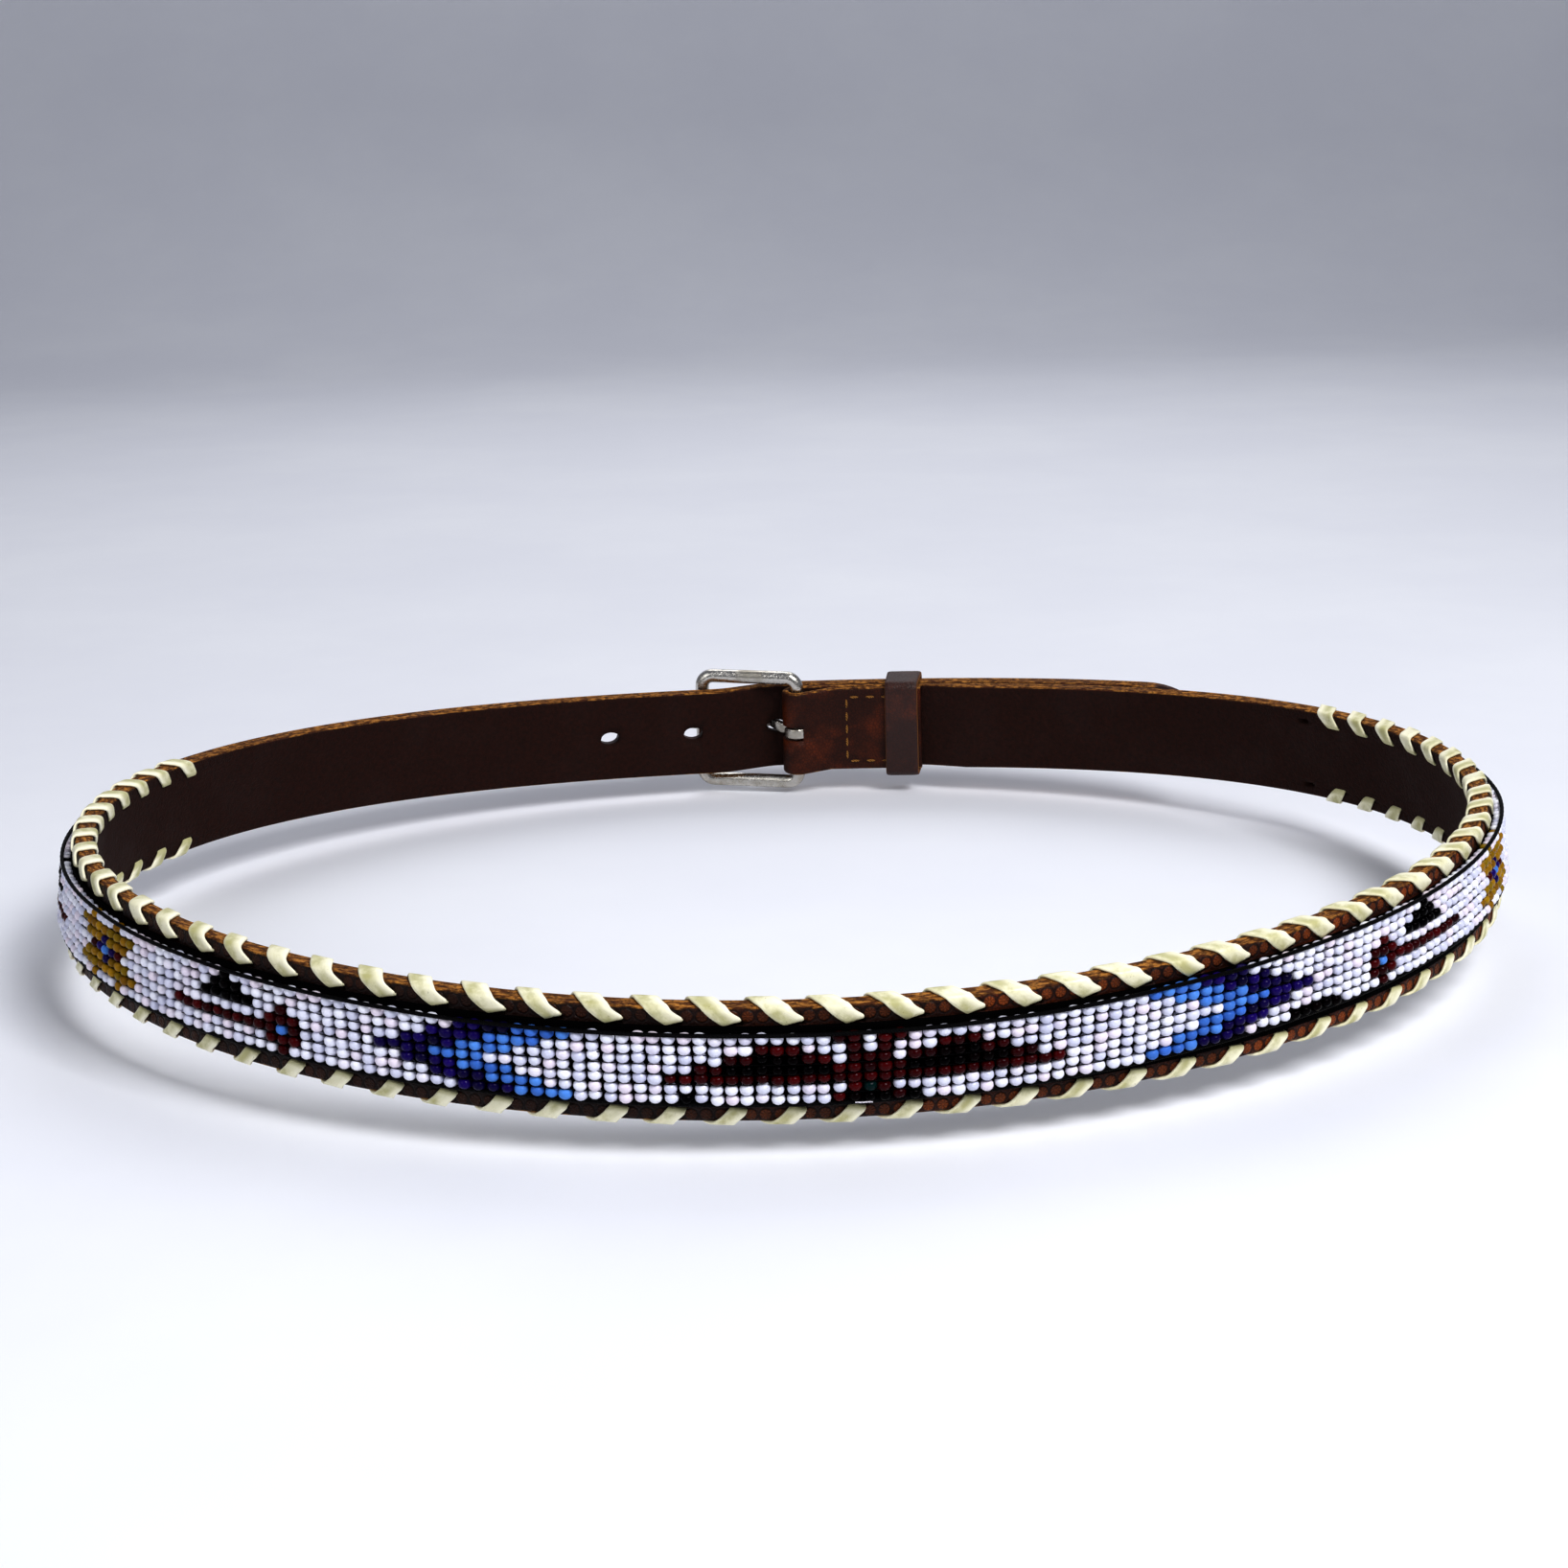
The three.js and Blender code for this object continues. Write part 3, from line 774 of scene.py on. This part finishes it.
def beads_of(colour):
    shape, quads, caps = bead_template()
    points, faces, tone, tint = [], [], [], []
    for (c, r), (size, wide, shift, turn, shade, hue) in bead_habit.items():
        if bead_colour(c, r) != colour:
            continue
        local = shape * [size * wide, size, size * wide]
        spin = np.array([[1, -turn, 0], [turn, 1, 0], [0, 0, 1]])
        local = local @ spin.T
        s, a = column_at(c) + shift[0], BEAD_OUT + shift[2]
        b = row_at(r) + drift(s) + shift[1]
        start = len(points) * len(shape)
        points.append(place(s + local[:, 0], b + local[:, 1], a + local[:, 2]))
        faces += (quads + start).tolist() + [[i + start for i in cap] for cap in caps]
        tone += [shade] * len(shape)
        tint += [hue] * len(shape)
    made = mesh_object(f"beads_{BEAD_NAMES[colour]}", np.concatenate(points), faces)
    store(made, "tone", tone)
    store(made, "tint", tint)
    return made


bead_habit = {}
for c in range(-LAST_COLUMN, LAST_COLUMN + 1):
    lean, column_shift = rng.normal(0, 0.03), rng.normal(0, 0.13)
    for r in range(1, ROWS + 1):
        shift = rng.normal(0, (0.07, 0.07, 0.08)) + [0, column_shift, 0]
        bead_habit[c, r] = (rng.normal(0.99, 0.04), rng.normal(0.99, 0.025), shift,
                            lean + rng.normal(0, 0.05), rng.random(), rng.random())
beads = {colour: beads_of(colour) for colour in BEAD_NAMES}
print({made.name: len(made.data.polygons) for made in beads.values()})

# %% [markdown]
# Opaque glass beads are glossy but not perfect. Each bead keeps its own tone and tint, as
# two attributes that were drawn when it was made, and a fine ripple breaks its highlight.

# %% Bead finish
DARK_SHINE = {BLACK: 0.08, RED: 0.25, NAVY: 0.25, TEAL: 0.2}
BEAD_FINISH = {
    # colour: (darker, lighter, other tint), roughness
    WHITE: ((206, 208, 228), (240, 241, 250), (232, 222, 234), 0.2),
    RED: ((34, 0, 2), (78, 3, 5), (52, 1, 3), 0.08),
    BLACK: ((0, 0, 0), (2, 1, 1), (6, 1, 1), 0.1),
    NAVY: ((14, 4, 60), (32, 10, 104), (9, 4, 46), 0.1),
    BLUE: ((60, 106, 184), (94, 150, 224), (72, 122, 206), 0.16),
    GOLD: ((120, 82, 6), (172, 132, 16), (134, 108, 10), 0.16),
    TEAL: ((1, 26, 24), (3, 40, 37), (1, 32, 32), 0.12),
}


def bead_look(colour):
    dark, light, other, rough = BEAD_FINISH[colour]
    made, tree, shader = new_material(f"glass bead {BEAD_NAMES[colour]}", IOR=1.5)
    if colour != WHITE:
        shader.inputs["Specular IOR Level"].default_value = DARK_SHINE.get(colour, 0.3)
        shader.inputs["Specular Tint"].default_value = (0.4, 0.35, 0.4, 1.0)
    tone = blend_colour(tree, attribute(tree, "tone"), srgb(*dark), srgb(*light))
    strong = step(tree, attribute(tree, "tint"), 0.6, 0.95)
    tone = blend_colour(tree, strong, tone, srgb(*other))
    put(shader.inputs["Base Color"], tone)
    ripple = noise(tree, object_coordinates(tree), 1100.0)
    put(shader.inputs["Roughness"], scaled(tree, ripple, 0.12, rough))
    bump(tree, shader, ripple, 0.00006)
    return made


for colour, made in beads.items():
    made.data.materials.append(bead_look(colour))
    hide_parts("bead_strip")
    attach(made, "root")
print("bead finishes:", list(BEAD_NAMES.values()))

# %% [markdown]
# The threads are what turns loose beads into a strip. Thin warp threads sink between the
# rows, and one thicker black cord is couched along each edge, on the beads' outer corner.
# The cord is waxed and twisted, so its bump is a fine slant. One pale end was left uncut.

# %% Threads
WARP_OUT, WARP_RADIUS = 2.15, 0.12
CORD_ACROSS, CORD_OUT, CORD_END_OUT, CORD_RADIUS = (7.86, 7.85), (2.66, 2.0), 1.25, 0.44
LOOSE_FROM, LOOSE_LENGTH, LOOSE_RADIUS = (3.6, -7.25, 3.05), 3.5, 0.16


def thread_look(name, shade, light):
    made, tree, shader = new_material(name, Roughness=0.5, Specular_IOR_Level=0.06)
    coordinates = object_coordinates(tree)
    twist = add(tree, "TexWave", {"Vector": coordinates, "Scale": 900.0, "Distortion": 1.5},
                bands_direction="DIAGONAL").outputs["Fac"]
    colour = blend_colour(tree, twist, srgb(*shade), srgb(*light))
    put(shader.inputs["Base Color"], colour)
    bump(tree, shader, twist, 0.00012)
    return made


black_thread = thread_look("waxed black thread", (1, 1, 2), (7, 6, 9))
pale_thread = thread_look("pale thread", (190, 186, 196), (238, 234, 240))
stops = column_at(np.arange(-LAST_COLUMN - 0.5, LAST_COLUMN + 1.0, 0.25))
ripple = np.cos(2 * math.pi * np.arange(len(stops)) / 4)
threads = []
for i in range(ROWS - 1):
    b = row_at(i + 1.5) + drift(stops)
    made = thread(f"warp_{i + 1}", stops, b, WARP_OUT - 0.1 * ripple, WARP_RADIUS, 6)
    threads.append(made)
for name, side, across, out in zip(("upper", "lower"), (1, -1), CORD_ACROSS, CORD_OUT):
    wander = np.interp(stops, stops[::24], rng.normal(0, 0.07, len(stops[::24])))
    tucked = 1 - ramp(np.minimum(stops - stops[0], stops[-1] - stops), 0, 5)
    threads.append(thread(f"edge_cord_{name}", stops, side * across + wander + drift(stops),
                          out + 0.04 * ripple - (out - CORD_END_OUT) * tucked, CORD_RADIUS, 10))
loose = np.linspace(0, 1, 9)
threads.append(thread("loose_end", LOOSE_FROM[0] + LOOSE_LENGTH * loose,
                      LOOSE_FROM[1] - 0.25 * loose ** 2,
                      LOOSE_FROM[2] + 0.15 * np.sin(5 * loose), LOOSE_RADIUS))
for made in threads:
    made.data.materials.append(pale_thread if made.name == "loose_end" else black_thread)
    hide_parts("bead_strip")
    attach(made, "root")
print("threads:", [made.name for made in threads])

# %% [markdown]
# The cloth under the beads is a tight black weave. Only its edges show, as a dark band
# between the beads and the leather. Two wave textures across each other make the weave.

# %% Cloth finish
cloth_look, tree, shader = new_material("black cotton band", Roughness=0.9, Specular_IOR_Level=0.03)
waves = [add(tree, "TexWave", {"Vector": object_coordinates(tree), "Scale": 700.0},
             bands_direction=way).outputs["Fac"] for way in "ZX"]
weave = product(tree, *waves)
put(shader.inputs["Base Color"], blend_colour(tree, weave, srgb(1, 1, 1), srgb(6, 4, 6)))
bump(tree, shader, weave, 0.0001)
cloth.data.materials.append(cloth_look)
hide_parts("bead_strip")
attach(cloth, "root")
print("cloth finished")

# %% [markdown]
# Each lace is one long flat thong. It comes out of a hole, slants up the face, crosses the
# edge and goes down inside to the hole before, over and over. It is drawn tight, so it is a
# ribbon that hugs the rounded edge. The table below follows one turn: where its middle lies
# across the strap and out from it, how far it has moved along, how wide it is along the
# strap, and how much its far edge reaches out across the strap. The lower lace has rows of
# its own for the outer face. A smooth curve through the table gives a turn, and 52 turns
# follow each other without a break.

# %% Lace path
LACE_HALF_THICK, FAR_EDGE_LIFT = 0.35, 0.15
PLACE_SPREAD, WIDTH_SPREAD = 0.18, 0.03
LACE_TURN = [
    # b, a, moved along, half length, slant of the section
    (9.75, -2.20, 1.20, 1.75, 0.40),
    (9.75, -0.40, 0.25, 1.90, 0.50),
    (9.85, 0.25, 0.00, 1.95, 0.60),
    (10.50, 0.42, -0.70, 2.50, 0.45),
    (11.35, 0.44, -1.80, 2.65, 0.25),
    (12.20, 0.40, -2.75, 2.70, 0.10),
    (12.87, 0.06, -3.40, 2.75, 0.05),
    (13.10, -0.90, -4.15, 2.80, 0.0),
    (13.12, -2.20, -5.00, 2.85, 0.0),
    (13.10, -3.50, -5.75, 2.85, 0.0),
    (12.82, -4.46, -6.40, 2.85, 0.0),
    (12.10, -4.80, -7.00, 2.75, 0.0),
    (11.00, -4.82, -7.90, 2.60, 0.0),
    (9.80, -4.77, -8.90, 2.35, 0.0),
    (9.10, -4.40, -9.45, 2.00, 0.0),
    (9.10, -3.40, -10.07, 1.80, 0.0),
]
LOWER_FACE = [
    # the lower lace leaves its holes more steeply, then hooks round the edge
    (9.75, -2.20, 1.20, 1.65, 0.30),
    (9.75, -0.40, 0.30, 1.75, 0.35),
    (9.80, 0.25, 0.05, 1.85, 0.35),
    (10.45, 0.42, -0.45, 2.05, 0.25),
    (11.25, 0.44, -1.20, 2.10, 0.15),
    (12.15, 0.40, -2.25, 2.20, 0.08),
    (12.87, 0.06, -3.20, 2.50, 0.04),
]
ROW_STEPS = 3
STREAK_LENGTH = 26.0


def smooth_table(table):
    # Catmull-Rom through the rows, each turn flowing into the next one
    rows = np.array(table)
    shift = np.zeros(rows.shape[1])
    shift[2] = -LACE_PITCH
    padded = np.concatenate([rows[-1:] - shift, rows, rows[:2] + shift])
    result = []
    for i in range(len(rows)):
        p0, p1, p2, p3 = padded[i:i + 4]
        for k in range(ROW_STEPS):
            t = k / ROW_STEPS
            result.append(0.5 * (2 * p1 + (p2 - p0) * t + (2 * p0 - 5 * p1 + 4 * p2 - p3) * t ** 2
                                 + (3 * p1 - p0 - 3 * p2 + p3) * t ** 3))
    return np.array(result)


LACE_SECTION = [(-1.0, 0.0), (-0.97, 0.55), (-0.86, 0.92), (-0.5, 1.0), (0.0, 1.0), (0.5, 1.0),
                (0.86, 0.92), (0.97, 0.55), (1.0, 0.0), (0.97, -0.55), (0.86, -0.92),
                (0.0, -1.0), (-0.86, -0.92), (-0.97, -0.55)]


def lace(name, edge, table):
    turn_rows, turns = smooth_table(table), []
    for i in range(LACE_TURNS, 0, -1):
        rows = turn_rows.copy()
        rows[:, 2] += LACE_START + i * LACE_PITCH + rng.normal(0, PLACE_SPREAD)
        rows[:, 3] *= rng.normal(1.0, WIDTH_SPREAD)
        turns.append(rows)
    rows = np.concatenate(turns)
    b, a, s, half_length, slant = rows.T
    ahead = np.stack([np.gradient(b), np.gradient(a)], -1)
    ahead /= np.linalg.norm(ahead, axis=1)[:, None]
    outward = np.stack([-ahead[:, 1], ahead[:, 0]], -1)
    outward *= np.where((outward * np.stack([b - 11.0, a + 2.2], -1)).sum(1) < 0, -1, 1)[:, None]
    q, t = np.array(LACE_SECTION).T
    on_face = slant[:, None] > 0
    lift = FAR_EDGE_LIFT * on_face * np.clip(q, 0, 1)[None, :] ** 2
    reach = t[None, :] * LACE_HALF_THICK + lift
    across = b[:, None] + slant[:, None] * q[None, :] + reach * outward[:, :1]
    points = place(s[:, None] + q[None, :] * half_length[:, None], edge * across,
                   a[:, None] + reach * outward[:, 1:])
    made = loft(name, points)
    store(made, "crosswise", np.broadcast_to(q[None, :], points.shape[:2]))
    # This mask marks the lace near its holes, where shade is painted into its colour.
    store(made, "tucked", 1 - ramp(across, 9.6, 11.0))
    lengthwise = np.arange(len(rows))[:, None] / len(turn_rows) * STREAK_LENGTH
    store(made, "lengthwise", np.broadcast_to(lengthwise, points.shape[:2]))
    return made


laces = [lace("edge_lace_upper", 1, LACE_TURN),
         lace("edge_lace_lower", -1, LOWER_FACE + LACE_TURN[len(LOWER_FACE):])]
print({made.name: len(made.data.polygons) for made in laces})

# %% [markdown]
# The thong is smooth and cream, with a slight shine. Shade is painted into its colour as an olive
# grey along its middle, in uneven patches, and by the holes. Fine specks and cutting lines break it
# up.

# %% Lace finish
lace_look, tree, shader = new_material("cream lace", Roughness=0.4, Coat_Weight=0.15,
                                       Coat_Roughness=0.3)
crosswise = attribute(tree, "crosswise")
lengthwise = attribute(tree, "lengthwise")
combined = add(tree, "CombineXYZ", {"X": product(tree, crosswise, 7.0),
                                    "Y": product(tree, lengthwise, 0.3)}).outputs[0]
streak = noise(tree, combined, 1.0, 3.0)
wear_and_shade_patches = patches(tree, 170.0, 0.34, 0.62)
speck = step(tree, noise(tree, object_coordinates(tree), 1500.0), 0.70, 0.76)
from_middle = maths(tree, "ABSOLUTE", scaled(tree, crosswise, 0.75, 0.25))
middle = step(tree, from_middle, 0.85, 0.1)
colour = blend_colour(tree, streak, srgb(238, 233, 200), srgb(255, 252, 232))
# Painted shade: olive grey along the middle of the thong, uneven in patches, and by the holes where
# it dips in. The same patches also make the worn lace rougher.
painted_olive_shade = product(tree, scaled(tree, wear_and_shade_patches, 0.7, 0.25), middle)
painted_olive_shade = maths(tree, "MAXIMUM", painted_olive_shade, product(tree, attribute(tree, "tucked"), 0.8))
colour = blend_colour(tree, painted_olive_shade, colour, srgb(184, 180, 126))
colour = blend_colour(tree, product(tree, speck, 0.45), colour, srgb(120, 108, 60))
put(shader.inputs["Base Color"], colour)
put(shader.inputs["Roughness"], scaled(tree, wear_and_shade_patches, 0.15, 0.34))
bump(tree, shader, streak, 0.00006)
for made, node in zip(laces, ("lace_top", "lace_bottom")):
    made.data.materials.append(lace_look)
    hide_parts(node)
    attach(made, "root")
print("laces finished")

# %% [markdown]
# The CAD model gives the buckle eight-sided bars. Its frame keeps that path here, with
# rounder bars and corners.

# %% Buckle frame
FRAME_HALF, FRAME_CORNER = 16.2, 3.2
FAR_BAR_AT, FAR_BAR_OUT = BAR_AT + FRAME_LENGTH, GAP + BAR_RADIUS


def buckle_frame():
    slope = (FAR_BAR_OUT - BAR_DEPTH) / FRAME_LENGTH
    ends = [FAR_BAR_AT - FRAME_CORNER, BAR_AT + FRAME_CORNER]
    side = FRAME_HALF - FRAME_CORNER
    corners = [(ends[0], side), (ends[1], side), (ends[1], -side), (ends[0], -side)]
    angle = circle(20)
    sections = []
    for quarter, (s, b) in enumerate(corners):
        for turn in (quarter + np.linspace(0, 1, 9)) * math.pi / 2:
            middle_out = BAR_DEPTH + slope * (s + FRAME_CORNER * math.cos(turn) - BAR_AT)
            reach = FRAME_CORNER + BAR_RADIUS * np.cos(angle)
            sections.append(place(s + reach * math.cos(turn), b + reach * math.sin(turn),
                                  middle_out + BAR_RADIUS * np.sin(angle)))
    return loft("buckle_frame_bar", np.array(sections), ring=True)


frame_bar = buckle_frame()
print("frame:", len(frame_bar.data.polygons), "faces")

# %% [markdown]
# The prong is a flat bar, curled round the heel bar. It rises through the billet's hole and
# ends over the far bar with a blunt, rounded tip. Its side view is a line of points, and a
# rounded cross section is swept along that line.

# %% Prong
PRONG_CURL, TIP_OVERHANG, TIP_DROP = math.radians(250), 4.5, 0.4
RISE_BEFORE, RISE_AFTER = 1.9, 1.6
TIP_NARROW, SOFT, SHARP = 0.62, 0.5, 0.22


def soft_box(sides, power_x, power_y):
    x, y = np.cos(circle(sides)), np.sin(circle(sides))
    return np.sign(x) * np.abs(x) ** power_x, np.sign(y) * np.abs(y) ** power_y


def prong():
    middle = PRONG_THICK / 2
    curl = FOLD_RADIUS + middle
    over_bar = FAR_BAR_OUT + BAR_RADIUS + GAP + middle
    turns = math.pi / 2 + PRONG_CURL * np.linspace(1, 0, 25)
    line = [(BAR_AT + curl * math.cos(t), BAR_DEPTH + curl * math.sin(t)) for t in turns]
    line += [(PRONG_HOLE - RISE_BEFORE, BAR_DEPTH + curl), (PRONG_HOLE + RISE_AFTER, over_bar),
             (FAR_BAR_AT, over_bar), (FAR_BAR_AT + TIP_OVERHANG, over_bar - TIP_DROP)]
    line = np.array(line)
    ahead = np.gradient(line, axis=0)
    ahead /= np.linalg.norm(ahead, axis=1)[:, None]
    up = np.stack([-ahead[:, 1], ahead[:, 0]], -1)
    x, y = soft_box(24, SOFT, SOFT)
    taper = np.ones(len(line))
    taper[-1] = TIP_NARROW
    reach = middle * y[None, :] * taper[:, None]
    return loft("buckle_prong_bar", place(
        line[:, :1] + up[:, :1] * reach, PRONG_HALF_WIDTH * x[None, :] * taper[:, None],
        line[:, 1:] + up[:, 1:] * reach))


prong_bar = prong()
print("prong:", len(prong_bar.data.polygons), "faces")

# %% [markdown]
# Nickel-plated steel is bright, with fine scratches two ways and duller patches where it
# rubs. The scratches are noise drawn out thin, and they only change the roughness and bump.

# %% Metal finish
metal, tree, shader = new_material("nickel plated steel", Metallic=1.0)
scratches = []
for stretch in ((3500.0, 3500.0, 160.0), (180.0, 3500.0, 3500.0)):
    drawn = add(tree, "Mapping", {"Vector": object_coordinates(tree), "Scale": stretch})
    scratches.append(noise(tree, drawn.outputs[0], 1.0))
scratch = step(tree, maths(tree, "MAXIMUM", *scratches), 0.55, 0.75)
rubbed = patches(tree, 160.0, 0.4, 0.7)
colour = blend_colour(tree, rubbed, srgb(206, 203, 196), srgb(176, 170, 158))
put(shader.inputs["Base Color"], colour)
rough = total(tree, scaled(tree, rubbed, 0.14, 0.2), product(tree, scratch, 0.15))
put(shader.inputs["Roughness"], rough)
bump(tree, shader, scratch, 0.00003)
for made, node in ((frame_bar, "buckle_frame"), (prong_bar, "buckle_prong")):
    made.data.materials.append(metal)
    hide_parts(node)
    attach(made, "root")
print("metal finished")

# %% [markdown]
# The keeper is a strip of thinner leather, bent round both layers into a closed loop. Its
# edges are rounded like the strap's, so it is swept round with a rounded cross section.

# %% Keeper
KEEPER = {"width": 10.0, "wall": 1.8, "side": 0.3, "corner": 1.6}


def keeper():
    middle_s = PRONG_HOLE - 1.5 * BILLET_PITCH
    half_wall = KEEPER["wall"] / 2
    high = OVERLAP + GAP + half_wall
    low = -2 * SKIVED - 2 * GAP - half_wall
    side = STRAP_HALF + KEEPER["side"] + half_wall
    middle_a, reach_a = (high + low) / 2, (high - low) / 2
    corner = KEEPER["corner"]
    rows = []
    for quarter, (x, y) in enumerate(((1, 1), (-1, 1), (-1, -1), (1, -1))):
        for turn in (quarter + np.linspace(0, 1, 8)) * math.pi / 2:
            rows.append((x * (side - corner) + corner * math.cos(turn),
                         middle_a + y * (reach_a - corner) + corner * math.sin(turn),
                         math.cos(turn), math.sin(turn)))
    rows = np.array(rows)
    x, y = soft_box(28, SHARP, SOFT)
    along, through = KEEPER["width"] / 2 * x, half_wall * y
    made = loft("keeper_loop", place(
        middle_s + along[None, :], rows[:, :1] + rows[:, 2:3] * through[None, :],
        rows[:, 1:2] + rows[:, 3:4] * through[None, :]), ring=True)
    store(made, "rim", np.broadcast_to(np.abs(along)[None, :], (len(rows), len(along))))
    return made


keeper_loop = keeper()
keeper_look, tree, shader = new_material("keeper leather")
height, crease = grain(tree, 1100.0, 0.5)
worn = patches(tree, 80.0, 0.4, 0.7)
colour = blend_colour(tree, worn, srgb(52, 18, 8), srgb(96, 40, 15))
colour = blend_colour(tree, product(tree, crease, 0.5), colour, srgb(24, 8, 4))
edge = step(tree, attribute(tree, "rim"), 4.75, 4.98)
colour = blend_colour(tree, edge, colour, srgb(124, 78, 28))
put(shader.inputs["Base Color"], colour)
put(shader.inputs["Roughness"], scaled(tree, edge, 0.3, 0.45))
bump(tree, shader, height, 0.00006)
keeper_loop.data.materials.append(keeper_look)
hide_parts("keeper")
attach(keeper_loop, "root")
print("keeper:", len(keeper_loop.data.polygons), "faces")

# %% [markdown]
# The fold is sewn down with heavy waxed thread, in a box of stitches that shows on the
# inside of the belt. Each stitch is a short, slightly arched piece of thread.

# %% Stitches
STITCH_LENGTH, STITCH_PITCH, STITCH_RADIUS = 3.0, 4.0, 0.38


def stitches(name, ends, a):
    sections, faces = [], []
    angle = circle(8)
    for (s0, b0), (s1, b1) in ends:
        length = math.hypot(s1 - s0, b1 - b0)
        number = max(1, int(length // STITCH_PITCH))
        for i in range(number):
            middle = (i + 0.5) / number
            t = middle + np.linspace(-0.5, 0.5, 9) * STITCH_LENGTH / length
            arch = np.sin(np.linspace(0, math.pi, 9))
            s, b = s0 + (s1 - s0) * t, b0 + (b1 - b0) * t
            aside = np.array([-(b1 - b0), s1 - s0]) / length
            radius = STITCH_RADIUS * (0.45 + 0.55 * arch)
            sections.append(place(
                s[:, None] + aside[0] * radius[:, None] * np.cos(angle),
                b[:, None] + aside[1] * radius[:, None] * np.cos(angle),
                a - (0.3 * arch - 0.25)[:, None] + radius[:, None] * np.sin(angle)))
    index = np.arange(sections[0].size // 3).reshape(sections[0].shape[:2])
    quads = ring_quads(index[:-1], index[1:])
    for i in range(len(sections)):
        start = i * index.size
        faces += (quads + start).tolist()
        faces += [(index[0, ::-1] + start).tolist(), (index[-1] + start).tolist()]
    return mesh_object(name, np.concatenate([x.reshape(-1, 3) for x in sections]), faces)


row_b, near_s, far_s = 10.0, skive_to + 5.0, skive_to + 24.0
box = [((near_s, -row_b), (near_s, row_b)), ((near_s, row_b), (far_s, row_b)),
       ((near_s, -row_b), (far_s, -row_b)), ((far_s, -row_b), (far_s, row_b))]
fold_stitches = stitches("fold_stitches", box, tab_flesh - SKIVED)
tan_thread = thread_look("waxed tan thread", (96, 62, 28), (176, 130, 72))
fold_stitches.data.materials.append(tan_thread)
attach(fold_stitches, "root")
print("stitches:", len(fold_stitches.data.polygons), "faces")
